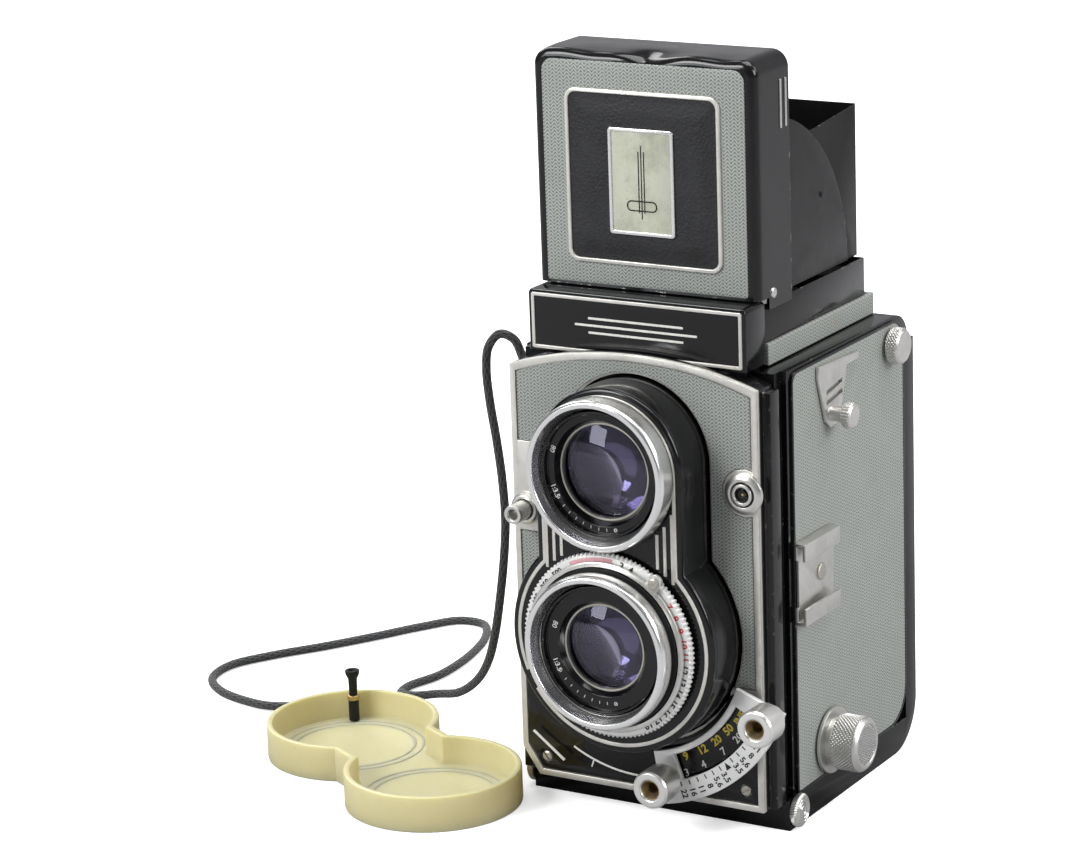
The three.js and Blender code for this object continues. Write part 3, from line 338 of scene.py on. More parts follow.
# The slot that each material's pieces go in, where keep is not told another.
SLOTS = {material.name: slot for slot, group in (
    ("gloss_paint", (GLOSS, WORN)),
    ("matt_black", (MATT, SHEET)),
    ("satin_silver", (SILVER, TRIM, BRIGHT, DIAL, KNOB, TIN, AGED, WHITE, BLACK, YELLOW, RED, PINK)),
    ("brass", (BRASS, CONE)),
    ("grey_leather", (LEATHER,)),
    ("black_plastic", (VELVET,)),
    ("lens_glass", (GLASS, INNER)),
    ("cap_plastic", (CAP,)),
    ("cord_braid", (BRAID,)),
) for material in group}

# ---------------------------------------------------------------- mesh tools


def link(name, mesh):
    obj = bpy.data.objects.new(name, mesh)
    bpy.context.scene.collection.objects.link(obj)
    return obj


def from_rows(name, verts, faces, uvs=None):
    mesh = bpy.data.meshes.new(name)
    mesh.from_pydata([(v[0] * MM, v[1] * MM, v[2] * MM) for v in verts], [], faces)
    if uvs:
        layer = mesh.uv_layers.new(name="UVMap")
        for loop in mesh.loops:
            layer.data[loop.index].uv = uvs[loop.vertex_index]
    return link(name, mesh)


@contextmanager
def editing(obj):
    """Opens an object's mesh for editing and writes it back."""
    bm = bmesh.new()
    bm.from_mesh(obj.data)
    yield bm
    bm.to_mesh(obj.data)
    bm.free()


def clean(obj, merge=1e-7, flatten=False):
    """Joins touching points and turns the faces outwards."""
    with editing(obj) as bm:
        bmesh.ops.remove_doubles(bm, verts=bm.verts, dist=merge)
        bmesh.ops.dissolve_degenerate(bm, edges=bm.edges, dist=merge)
        if flatten:
            bmesh.ops.dissolve_limit(bm, angle_limit=rad(0.6), verts=bm.verts, edges=bm.edges)
        bmesh.ops.recalc_face_normals(bm, faces=bm.faces)
    return obj


def evaluated(obj):
    """The mesh of an object with its modifiers, or of a curve or text."""
    graph = bpy.context.evaluated_depsgraph_get()
    return bpy.data.meshes.new_from_object(obj.evaluated_get(graph))


def settle(obj):
    """Replaces an object's mesh with what its modifiers make of it."""
    mesh = evaluated(obj)
    obj.modifiers.clear()
    obj.data = mesh
    return obj


def outlined(name, curve):
    """The mesh of a curve or text."""
    source = link(name, curve)
    mesh = evaluated(source)
    bpy.data.objects.remove(source)
    return mesh


def shade(obj, angle=32):
    obj.data.shade_smooth()
    obj.data.set_sharp_from_angle(angle=rad(angle))
    return obj


def chamfer(obj, width, segments=3, angle=28):
    """Rounds every edge sharper than the angle by the width in mm."""
    if width:
        modifier = obj.modifiers.new("round", "BEVEL")
        modifier.width = width * MM
        modifier.segments = segments
        modifier.angle_limit = rad(angle)
        modifier.limit_method = "ANGLE"
        modifier.miter_outer = "MITER_ARC"
        settle(obj)
    return shade(obj)


def carve(obj, *cutters):
    """Cuts the cutters out of a solid and removes them."""
    for cutter in cutters:
        modifier = obj.modifiers.new("cut", "BOOLEAN")
        modifier.operation = "DIFFERENCE"
        modifier.object = cutter
        modifier.solver = "EXACT"
    settle(obj)
    for cutter in cutters:
        bpy.data.objects.remove(cutter)
    return clean(obj, flatten=True)


def score(obj, axis, places):
    """Cuts edges into the faces where planes across an axis meet them, leaving the shape as it is."""
    normal = [float(axis == "x"), float(axis == "y"), float(axis == "z")]
    with editing(obj) as bm:
        for place in places:
            bmesh.ops.bisect_plane(bm, geom=bm.verts[:] + bm.edges[:] + bm.faces[:], dist=1e-7,
                                   plane_co=[n * place * MM for n in normal], plane_no=normal)
    return obj


def quads(rows, count, closed=True):
    """Faces between rows of points, each row closed on itself or open."""
    faces = []
    for i in range(0, (rows - 1) * count, count):
        for j in range(count if closed else count - 1):
            k = (j + 1) % count
            faces.append((i + j, i + k, i + count + k, i + count + j))
    return faces


def prism(name, points, axis, start, end):
    """A solid between two copies of a closed outline: (y, z) along x, (x, z) along y, (x, y) along z."""
    count = len(points)
    order = {"x": (2, 0, 1), "y": (0, 2, 1), "z": (0, 1, 2)}[axis]
    verts = [[(u, v, w)[i] for i in order] for w in (start, end) for u, v in points]
    caps = [tuple(range(count)), tuple(range(2 * count - 1, count - 1, -1))]
    return clean(from_rows(name, verts, caps + quads(2, count)))


def loft(name, rings):
    """A closed solid through rings of points, each with as many points as the others."""
    count = len(rings[0])
    verts = [point for ring in rings for point in ring]
    caps = [tuple(range(count)), tuple(range(len(verts) - count, len(verts)))]
    return clean(from_rows(name, verts, caps + quads(len(rings), count)))


def block(name, x0, x1, y0, y1, z0, z1):
    return prism(name, [(x0, y0), (x1, y0), (x1, y1), (x0, y1)], "z", z0, z1)


def soften(points, radius, steps=4):
    """Rounds the corners of a profile. A profile whose ends meet is rounded there too."""
    closed = math.dist(points[0], points[-1]) < 1e-6
    pts = [Vector(p) for p in (points[:-1] if closed else points)]
    count = len(pts)
    out = []
    for i, p in enumerate(pts):
        if not closed and i in (0, count - 1):
            out.append(p)
            continue
        before = pts[i - 1] - p
        after = pts[(i + 1) % count] - p
        reach = min(radius, before.length * 0.45, after.length * 0.45)
        if reach < 1e-4 or abs(before.normalized().cross(after.normalized())) < 0.05:
            out.append(p)
            continue
        a = p + before.normalized() * reach
        b = p + after.normalized() * reach
        for k in range(steps + 1):
            t = k / steps
            out.append(a * (1 - t) ** 2 + p * 2 * t * (1 - t) + b * t * t)
    if closed:
        out.append(out[0])
    return out


def densify(points, step):
    """Adds points along a profile, so that none are further apart than the step."""
    out = [points[0]]
    for a, b in zip(points, points[1:]):
        a, b = Vector(a), Vector(b)
        parts = max(1, math.ceil((b - a).length / step))
        out += [a + (b - a) * (k / parts) for k in range(1, parts + 1)]
    return out


def turned(name, profile, axis, u, v, sides=96, fillet=0.15, shape=None, step=None, smooth=32):
    """Turns a profile of (radius, along) about an axis through (u, v).

    shape(radius, along, angle) gives a new radius, and step is the longest stretch between its points.
    """
    points = soften([tuple(p) for p in profile], fillet) if fillet else [Vector(p) for p in profile]
    if step:
        points = densify(points, step)
    r = np.array([p[0] for p in points])[:, None]
    a = np.array([p[1] for p in points])[:, None]
    angle = np.linspace(0, TAU, sides, endpoint=False)[None, :]
    radius = r + 0 * angle
    if shape:
        radius = shape(radius, a + 0 * angle, angle + 0 * r)
    along = a + 0 * angle
    p, q = u + radius * np.cos(angle), v + radius * np.sin(angle)
    grid = {"x": (along, p, q), "y": (p, along, q), "z": (p, q, along)}[axis]
    verts = np.stack(grid, -1).reshape(-1, 3).tolist()
    return shade(clean(from_rows(name, verts, quads(len(points), sides)), 2e-6), smooth)


def rim_grooves(pattern, depth, lowest, highest, least):
    """Grooves on the rim between two places along the axis, as deep as the pattern says."""
    def shape(r, a, angle):
        on = (a > lowest) & (a < highest) & (r > least)
        return r - depth * pattern(a, angle) * on
    return shape


def near(radius, along, *offsets, sign=1):
    """Profile points given by how far each is from one place, or the same on the other side."""
    return [(radius + r, sign * (along + a)) for r, a in offsets]


def knurl(teeth, *where):
    """Straight grooves on the rim."""
    return rim_grooves(lambda a, angle: 0.5 - 0.5 * np.cos(teeth * angle), *where)


def hatch(teeth, pitch, *where):
    """Crossed slanted grooves on the rim."""
    def pattern(a, angle):
        first = np.abs(np.sin(0.5 * (teeth * angle + TAU * a / pitch)))
        second = np.abs(np.sin(0.5 * (teeth * angle - TAU * a / pitch)))
        return 1 - np.minimum(first, second)
    return rim_grooves(pattern, *where)


def plate(name, loops, plane, start, end, bevel=0.12):
    """A flat piece cut to closed outlines, the first outside and the rest holes, with rounded edges."""
    curve = bpy.data.curves.new(name, "CURVE")
    curve.dimensions = "2D"
    curve.fill_mode = "BOTH"
    for loop in loops:
        spline = curve.splines.new("POLY")
        spline.points.add(len(loop) - 1)
        for point, (u, v) in zip(spline.points, loop):
            point.co = (u * MM, v * MM, 0, 1)
        spline.use_cyclic_u = True
    curve.extrude = (abs(end - start) / 2 - bevel) * MM
    curve.bevel_depth = bevel * MM
    curve.bevel_resolution = 2
    curve.offset = -bevel * MM
    mesh = outlined(name + "_outline", curve)
    centre = (start + end) / 2 * MM
    moves = {
        "x": Matrix(((0, 0, 1, centre), (1, 0, 0, 0), (0, 1, 0, 0), (0, 0, 0, 1))),
        "y": Matrix(((1, 0, 0, 0), (0, 0, 1, centre), (0, 1, 0, 0), (0, 0, 0, 1))),
        "z": Matrix(((1, 0, 0, 0), (0, 1, 0, 0), (0, 0, 1, centre), (0, 0, 0, 1))),
    }
    mesh.transform(moves[plane])
    return shade(clean(link(name, mesh)))


def arc(cu, cv, radius, start, end, steps=48):
    return [(cu + radius * math.cos(rad(start + (end - start) * i / steps)),
             cv + radius * math.sin(rad(start + (end - start) * i / steps))) for i in range(steps + 1)]


def circle(cu, cv, radius, steps=96):
    return arc(cu, cv, radius, 0, 360, steps)[:-1]


def rounded(u0, u1, v0, v1, radii, steps=10):
    """A rectangle with one corner radius, or four: low-low, high-low, high-high, low-high."""
    radii = radii if isinstance(radii, list) else [radii] * 4
    corners = ((u0, v0, 1, 1, 180), (u1, v0, -1, 1, 270), (u1, v1, -1, -1, 0), (u0, v1, 1, -1, 90))
    out = []
    for (u, v, along, rise, start), radius in zip(corners, radii):
        if radius < 0.02:
            out.append((u, v))
        else:
            out += arc(u + along * radius, v + rise * radius, radius, start, start + 90, steps)
    return out


def sector(cu, cv, inner, outer, start, end, steps=60):
    """The outline of a piece of a flat ring, between two angles in degrees."""
    return arc(cu, cv, outer, start, end, steps) + arc(cu, cv, inner, end, start, steps)


def dress(mesh, material):
    """Gives a mesh one material."""
    mesh.materials.clear()
    mesh.materials.append(material)


def keep(obj, body, material, *nodes, slot=None):
    """Gives a piece its body and material, and hides the CAD nodes that it stands for."""
    slot = slot or SLOTS[material.name]
    dress(obj.data, material)
    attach(obj, body)
    if nodes:
        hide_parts(*nodes)
    return obj


def refined(node, body, material, width, segments=3, slot=None, flatten=True):
    """A copy of a CAD node with its edges rounded."""
    obj = link(node + "_fine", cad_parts[node].data.copy())
    clean(obj, 1e-6, flatten)
    chamfer(obj, width, segments)
    if material is LEATHER:
        shade(obj, 12)
    return keep(obj, body, material, node, slot=slot)


def join(name, objects):
    """One object from several."""
    bm = bmesh.new()
    for obj in objects:
        bm.from_mesh(obj.data)
        bpy.data.objects.remove(obj)
    mesh = bpy.data.meshes.new(name)
    bm.to_mesh(mesh)
    bm.free()
    return link(name, mesh)


def letters(name, marks, plane_at, raise_by=0.06, weight=0.04):
    """Figures on a face that looks to -Y. Each mark is (words, height, x, z, turn in degrees)."""
    pieces = []
    for words, size, x, z, turn in marks:
        curve = bpy.data.curves.new(name, "FONT")
        curve.body = words
        curve.size = size * MM / 0.72
        curve.align_x = "CENTER"
        curve.align_y = "CENTER"
        curve.extrude = raise_by * MM / 2
        curve.resolution_u = 3
        curve.offset = weight * MM
        mesh = outlined(name, curve)
        face = Matrix(((1, 0, 0, x * MM), (0, 0, -1, plane_at * MM), (0, 1, 0, z * MM), (0, 0, 0, 1)))
        mesh.transform(face @ Matrix.Rotation(rad(turn), 4, "Z"))
        pieces.append(link(name, mesh))
    return join(name, pieces)


def placed(*offsets, at=(0, 0), turn=0.0):
    """Outline points turned by an angle in radians and moved to a place."""
    c, s = math.cos(turn), math.sin(turn)
    return [(at[0] + u * c - v * s, at[1] + u * s + v * c) for u, v in offsets]


def polar(words, size, radius, angle, centre_z, outward=True):
    """A mark for letters on a circle, with its head or its foot outwards."""
    turn = angle - 90 if outward else angle + 90
    return (words, size, radius * math.cos(rad(angle)), centre_z + radius * math.sin(rad(angle)), turn)


def slotted(name, x, z, back, front, radius, turn=0.0, width=0.5, depth=0.5):
    """A slotted screw head that looks to -Y."""
    profile = [(0, back), (radius, back), (radius, front + 0.25), (radius * 0.75, front), (0, front)]
    head = turned(name, profile, "y", x, z, 40, 0.12)
    reach, half = radius + 1, width / 2
    corners = [(-reach, -half), (reach, -half), (reach, half), (-reach, half)]
    corners = placed(*corners, at=(x, z), turn=rad(turn))
    return shade(carve(head, prism(name + "_slot", corners, "y", front - 1, front + depth)))


# ---------------------------------------------------------------- camera

AZIMUTH, ELEVATION, ROLL = rad(31.23), rad(15.55), rad(-2.05)
back = Vector((math.sin(AZIMUTH) * math.cos(ELEVATION), -math.cos(AZIMUTH) * math.cos(ELEVATION),
               math.sin(ELEVATION)))
right = Vector((math.cos(AZIMUTH), math.sin(AZIMUTH), 0))
up = back.cross(right)
right, up = (right * math.cos(ROLL) + up * math.sin(ROLL), up * math.cos(ROLL) - right * math.sin(ROLL))
eye = bpy.data.cameras.new("eye")
eye.lens = 125.85
eye.sensor_width = 36.0
eye.sensor_fit = "HORIZONTAL"
eye.clip_start = 0.05
eye.clip_end = 20.0
eye_object = bpy.data.objects.new("eye", eye)
bpy.context.scene.collection.objects.link(eye_object)
place = Matrix((right, up, back)).transposed().to_4x4()
place.translation = Vector((0.46611, -0.85698, 0.36892))
eye_object.matrix_world = place
bpy.context.scene.camera = eye_object

# ---------------------------------------------------------------- cord

LENS_GAP = VIEW_Z - TAKE_Z
CAP_RADIUS, CAP_WALL, CAP_FLOOR = 24.2, 1.7, 1.8
CAP_TURN, FERRULE_TURN = rad(151), rad(-28)
CAP_CENTRE = Vector((-58.2, -54.4, 0))
CORD_RADIUS = 1.25
CORD_POINTS = [
    (-47.2, -7.6, 107.6), (-50, -7.8, 108.6), (-52.8, -8.2, 112.6), (-55, -9.5, 118.5),
    (-58.5, -11, 120), (-61.6, -12, 116.4),
    (-62.6, -12, 110), (-61.9, -12, 101), (-60.2, -12, 90), (-58.9, -12, 79), (-58.4, -12, 67),
    (-59.4, -12, 55.7), (-61.4, -11.6, 44), (-64.4, -10, 33), (-69.5, -6, 23), (-77.5, 0, 14),
    (-87, 5, 7.4), (-96.5, 8.5, 4.4), (-105, 8.4, 2.6), (-111, 11.4, 1.6), (-112.4, 18, 1.4),
    (-109.5, 30, 1.4), (-110.5, 48, 1.4), (-115.5, 66, 1.4), (-122.5, 76, 1.4), (-131, 76, 1.4),
    (-138.5, 66, 1.4), (-146.5, 52, 1.4), (-155.5, 37.5, 1.4), (-165, 24, 1.4), (-171.4, 11, 1.4),
    (-169.6, -1, 1.4), (-160.5, -9.5, 1.4), (-148, -13.6, 1.4), (-138, -14.6, 1.8),
]


def cap_point(along, across, z):
    """A place in the lens cap's own frame, where it lies on the table."""
    x, y = placed((along, across), turn=CAP_TURN)[0]
    return CAP_CENTRE + Vector((x, y, z))


def catmull(points, parts):
    """The centripetal curve through the points."""
    pts = [2 * points[0] - points[1]] + points + [2 * points[-1] - points[-2]]
    out = []
    for p0, p1, p2, p3 in zip(pts, pts[1:], pts[2:], pts[3:]):
        d0, d1, d2 = [max((b - a).length ** 0.5, 1e-4) for a, b in ((p0, p1), (p1, p2), (p2, p3))]
        t1 = ((p1 - p0) / d0 - (p2 - p0) / (d0 + d1) + (p2 - p1) / d1) * d1
        t2 = ((p2 - p1) / d1 - (p3 - p1) / (d1 + d2) + (p3 - p2) / d2) * d1
        for k in range(parts):
            t = k / parts
            out.append(p1 + t1 * t + (3 * (p2 - p1) - 2 * t1 - t2) * t * t
                       + (2 * (p1 - p2) + t1 + t2) * t ** 3)
    return out + [points[-1]]


def tube(name, path, radius, sides=20, pitch=3.4):
    """A tube along a path, with a coordinate round it and one along it for its braid."""
    ahead, behind = path[1:] + path[-1:], path[:1] + path[:-1]
    tangents = [(b - a).normalized() for a, b in zip(behind, ahead)]
    side = tangents[0].orthogonal().normalized()
    verts, uvs = [], []
    run = 0.0
    for i, (point, tangent) in enumerate(zip(path, tangents)):
        side = (side - tangent * side.dot(tangent)).normalized()
        other = tangent.cross(side)
        run += (point - path[i - 1]).length if i else 0
        for j in range(sides + 1):
            angle = TAU * j / sides
            verts.append(point + (side * math.cos(angle) + other * math.sin(angle)) * radius)
            uvs.append((j / sides, run / pitch))
    last = len(verts) - sides - 1
    caps = [tuple(range(sides)), tuple(range(last, last + sides))]
    return shade(from_rows(name, verts, quads(len(path), sides + 1, False) + caps, uvs), 60), run


reach = CAP_RADIUS - CAP_WALL - 2.4
ferrule_along = LENS_GAP + reach * math.cos(FERRULE_TURN)
ferrule_across = reach * math.sin(FERRULE_TURN)
route = [Vector(p) for p in CORD_POINTS]
route.append(cap_point(ferrule_along + 7.5, ferrule_across - 4, CAP_FLOOR + 2))
route.append(cap_point(ferrule_along + 2.2, ferrule_across - 1.1, CAP_FLOOR + 2.4))
cord_path = catmull(route, 10)
cord, cord_length = tube("braided_cord", cord_path, CORD_RADIUS)
keep(cord, "body", BRAID, "cap_cord")


def cap_outline(inset, steps=72):
    """The outline of two circles run together, less an inset."""
    radius = CAP_RADIUS - inset
    waist = math.degrees(math.acos(LENS_GAP / 2 / (radius + 6)))
    first = arc(0, 0, radius, waist, 360 - waist, steps)
    second = arc(LENS_GAP, 0, radius, 180 + waist, 540 - waist, steps)
    return first + second


def make_cap():
    """A shallow cup over two circles, with a round lip and faint turned rings on its floor."""
    depth = high("lens_cap").z
    wall = [(0.5, 0), (0.1, 0.15), (0, 0.5), (0, depth - 0.5), (0.15, depth - 0.15), (0.5, depth),
            (CAP_WALL - 0.5, depth), (CAP_WALL - 0.15, depth - 0.15), (CAP_WALL, depth - 0.5),
            (CAP_WALL, CAP_FLOOR + 1.2), (CAP_WALL + 0.35, CAP_FLOOR + 0.35), (CAP_WALL + 1.2, CAP_FLOOR)]
    rings = [[cap_point(u, v, z) for u, v in cap_outline(inset)] for inset, z in wall]
    cap = shade(loft("cap_shell", rings), 40)
    keep(cap, "body", CAP, "lens_cap")
    for index, along in enumerate((0, LENS_GAP)):
        centre = cap_point(along, 0, 0)
        floor = CAP_FLOOR - 0.05
        for ring, radius in enumerate((19.6, 17.2)):
            lip = [(radius - 0.5, floor), (radius - 0.15, floor + 0.3), (radius + 0.15, floor + 0.3),
                   (radius + 0.5, floor), (radius - 0.5, floor)]
            mark = turned(f"cap_ring_{index}_{ring}", lip, "z", centre.x, centre.y, 120, 0.1)
            keep(mark, "body", CAP)


make_cap()
foot = cap_point(ferrule_along, ferrule_across, 0)
top = high("cord_ferrule").z
stem = [(0, CAP_FLOOR + 0.3), (1.5, CAP_FLOOR + 0.3), (1.5, 8), (1.15, 9), (1.3, top - 2.6),
        (2.0, top - 1.2), (2.1, top), (1.2, top), (0.9, top - 0.8), (0, top - 0.9)]
ferrule = turned("cord_end", stem, "z", foot.x, foot.y, 40, 0.25)
keep(ferrule, "body", MATT, "cord_ferrule", slot="cord_braid")
collar = [(1.2, 8.2), (1.75, 8.4), (1.75, 9.6), (1.2, 9.8), (1.2, 8.2)]
bead = turned("cord_bead", collar, "z", foot.x, foot.y, 40)
keep(bead, "body", BRASS)

# ---------------------------------------------------------------- body

refined("body_casting", "body", GLOSS, 0.45)
refined("front_housing", "body", WORN, 0.4)
refined("front_plate", "body", TRIM, 0.18)
for node in ("front_leather", "front_leather_small", "side_leather_right", "side_leather_left"):
    refined(node, "body", LEATHER, 0.12, 2)
refined("hood_step", "body", LEATHER, 0.3)
refined("hood_base", "body", WORN, 0.12, 2)
refined("scale_plate", "body", GLOSS, 0.1, 2)
refined("nameplate", "body", GLOSS, 0.45, slot="black_plastic")
refined("accessory_shoe", "body", SILVER, 0.16)
refined("mirror_box", "body", MATT, 0.1, 2)
refined("film_gate", "body", MATT, 0.1, 2)
for side in ("right", "left"):
    refined("strap_lug_" + side, "body", SILVER, 0.1, 2, flatten=False)
for node, material in (("reflex_mirror", MIRROR), ("focusing_screen", SCREEN), ("light_tube", MATT)):
    dress(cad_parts[node].data, material)


def add_face_details():
    """The blank nameplate's rule and bars, two screws, the flash socket and the release button."""
    front = low("nameplate").y
    half, bottom, top = high("nameplate").x, low("nameplate").z, high("nameplate").z
    rule = [rounded(-half + inset, half - inset, bottom + inset, top - inset, radius)
            for inset, radius in ((1.0, 0.6), (1.9, 0.3))]
    keep(plate("nameplate_rule", rule, "y", front - 0.3, front + 0.2, 0.1), "body", TRIM)
    centre = (bottom + top) / 2
    bars = []
    for half, z in ((14, centre + 1.9), (18, centre), (14, centre - 1.9)):
        bar = rounded(-half, half, z - 0.3, z + 0.3, 0.29)
        bars.append(plate("bar", [bar], "y", front - 0.12, front + 0.1, 0.04))
    keep(join("nameplate_bars", bars), "body", WHITE)

    for side, turn in (("right", 25), ("left", -50)):
        node = "face_screw_" + side
        at = middle(node)
        screw = slotted(node + "_head", at.x, at.z, high(node).y, low(node).y, 1.5, turn)
        keep(screw, "body", TIN, node)

    at = middle("sync_socket")
    base = high("sync_socket").y
    cup = near(0, base, (0, 0), (5.4, 0), (5.4, -0.8), (4.6, -1.3), (4.1, -1.5), (3.5, -1.5), (3.3, -1.2),
               (3.3, -0.9), (2.9, -0.9), (2.9, -1.8), (2.2, -1.9), (2.0, -1.7), (2.0, -0.3), (1.2, -0.3),
               (0, -0.3))
    keep(turned("sync_cup", cup, "y", at.x, at.z, 72, 0.12), "body", SILVER, "sync_socket")
    # Thin matt black rings just above the floors of the socket's two grooves: painted shade.
    for index, (inner, outer, face) in enumerate(((1.3, 1.97, base - 0.45), (2.93, 3.32, base - 1.05))):
        ring = near(0, face, (inner, 0.1), (outer, 0.1), (outer, -0.05), (inner, -0.05), (inner, 0.1))
        keep(turned(f"sync_groove_shade_{index}", ring, "y", at.x, at.z, 48, 0.05), "body", MATT)
    core = near(0, base, (0.5, -0.2), (1.25, -0.2), (1.25, -1.3), (0.5, -1.3), (0.5, -0.2))
    keep(turned("sync_core", core, "y", at.x, at.z, 40, 0.1), "body", GLOSS, slot="black_plastic")
    pin = near(0, base, (0, -0.2), (0.42, -0.2), (0.42, -1.2), (0, -1.35))
    keep(turned("sync_pin", pin, "y", at.x, at.z, 24, 0.08), "body", BRASS)

    at = middle("release_boss")
    inner_y, outer_y = high("release_boss").y, low("release_boss").y
    boss = [(2.85, inner_y), (4.15, inner_y)] + near(0, outer_y, (4.15, 0.5), (3.6, 0), (2.85, 0))
    boss.append(boss[0])
    keep(turned("release_collar", boss, "y", at.x, at.z, 60), "body", SILVER, "release_boss")
    tip = low("release_button").y
    button = near(0, tip, (0, 7.8), (2.6, 7.8), (2.6, 1.6), (2.6, 1.2), (2.6, 0.4), (2.5, 0), (1.6, 0),
                  (1.3, 0.5), (1.1, 4), (0, 4))
    press = turned("release_tube", button, "y", at.x, at.z, 60)
    keep(press, "release", SILVER, "release_button")


add_face_details()


def add_scale():
    """Distance marks on the black plate below the taking lens, in two rows, and a painted highlight along
    the plate's rim.
    """
    face = low("scale_plate").y - 0.03
    metres = [("1", -109.6, 42.0), ("3", -68.9, 40.2), ("4", -60.3, 39.6), ("7", -49.4, 39.2),
              ("20", -40.4, 39.2)]
    marks = [polar(words, 2.1, radius, angle, TAKE_Z, False) for words, angle, radius in metres]
    keep(letters("metre_marks", marks, face), "body", WHITE)
    feet = [("9", -66.5), ("12", -57.5), ("20", -49.0), ("50", -41.0)]
    marks = [polar(words, 2.2, 35.9, angle, TAKE_Z, False) for words, angle in feet]
    marks.append(polar("INF", 1.9, 36.4, -33.0, TAKE_Z, False))
    keep(letters("foot_marks", marks, face, 0.06, 0.10), "body", YELLOW)
    # A thin white arc along the raised plate's rim: a painted highlight.
    rim_highlight = sector(0, TAKE_Z, 40.3, 40.85, -119, -80)
    keep(plate("scale_rim_highlight", [rim_highlight], "y", face - 0.06, face + 0.1, 0.02), "body", WHITE)
    dash = [(-32.4, 20.6), (-31.8, 21.1), (-22.5, 14.1), (-23.1, 13.5)]
    keep(plate("scale_dash", [dash], "y", face - 0.06, face + 0.1, 0.02), "body", WHITE)


add_scale()


def add_side_details():
    """The shoe's screw, a ribbed stud on each strap lug and a black rim round each leather panel."""
    screw = near(0, low("accessory_shoe").x + 0.9, (0, -0.3), (2.3, -0.3), (2.3, 0.35), (1.9, 0.6), (0, 0.6))
    keep(turned("shoe_screw", screw, "x", -15.5, 66.8, 40), "body", TIN)
    for side, sign in SIDES:
        cap = near(0, 43.9, (0, 0), (3.0, 0), (3.45, 0.5), (3.45, 2.2), (3.0, 2.7), (0, 2.9), sign=sign)
        ribs = knurl(26, 0.22, *sorted((sign * 44.2, sign * 46.3)), 3)
        stud = turned("lug_stud_" + side, cap, "x", *LUG_AT, 156, 0.2, ribs)
        keep(stud, "body", SILVER)
    face = high("side_leather_right").x
    rim = rounded(-28.3, 37.9, 8.7, 123.3, [1.4, 10.6, 6.6, 3.1])
    gap = rounded(-27.5, 37.1, 9.5, 122.5, [0.8, 10, 6, 2.5])
    for side, sign in SIDES:
        trim = plate("panel_rim_" + side, [rim, gap], "x", sign * (face - 0.75), sign * (face + 0.1), 0.15)
        keep(trim, "body", GLOSS)


add_side_details()

# ---------------------------------------------------------------- lenses


def housing_outline(grow, steps=64):
    """The outline of the lens housing: a small circle over a large one, joined by straight sides."""
    half, radius = 21.6 + grow, 30 + grow
    meet = math.degrees(math.acos(half / radius))
    return arc(0, VIEW_Z, half, 0, 180, steps) + arc(0, TAKE_Z, radius, 180 - meet, 360 + meet, steps * 2)


def add_housing():
    """The housing's face and wall, the bright line round its front and the bars between the lenses."""
    front, rear = low("lens_housing").y, high("lens_housing").y
    trim_span = (front - 0.28, front + 0.2)
    face = plate("housing_face", [housing_outline(0), circle(0, VIEW_Z, 17), circle(0, TAKE_Z, 22.2)],
                 "y", front, front + 2.6, 0.9)
    keep(face, "lens_carriage", WORN, "lens_housing")
    wall = plate("housing_wall", [housing_outline(-0.02), housing_outline(-2)], "y", front + 1.6, rear, 0.05)
    keep(wall, "lens_carriage", WORN)
    stripe = plate("housing_stripe", [housing_outline(-1.75), housing_outline(-2.75)], "y", *trim_span, 0.1)
    notch = prism("notch", sector(0, TAKE_Z, 24, 33, 203, 214, 6), "y", front - 2, front + 2)
    keep(shade(carve(stripe, notch)), "lens_carriage", TRIM)
    bars = []
    for sign in (1, -1):
        for x in (14.2, 16.4, 18.6):
            top = VIEW_Z - math.sqrt(20.9 ** 2 - x * x)
            bottom = TAKE_Z + math.sqrt(26.1 ** 2 - x * x)
            outline = rounded(sign * x - 0.45, sign * x + 0.45, bottom, top, 0.1)
            bars.append(plate("bar", [outline], "y", *trim_span, 0.08))
    keep(join("housing_bars", bars), "lens_carriage", TRIM)


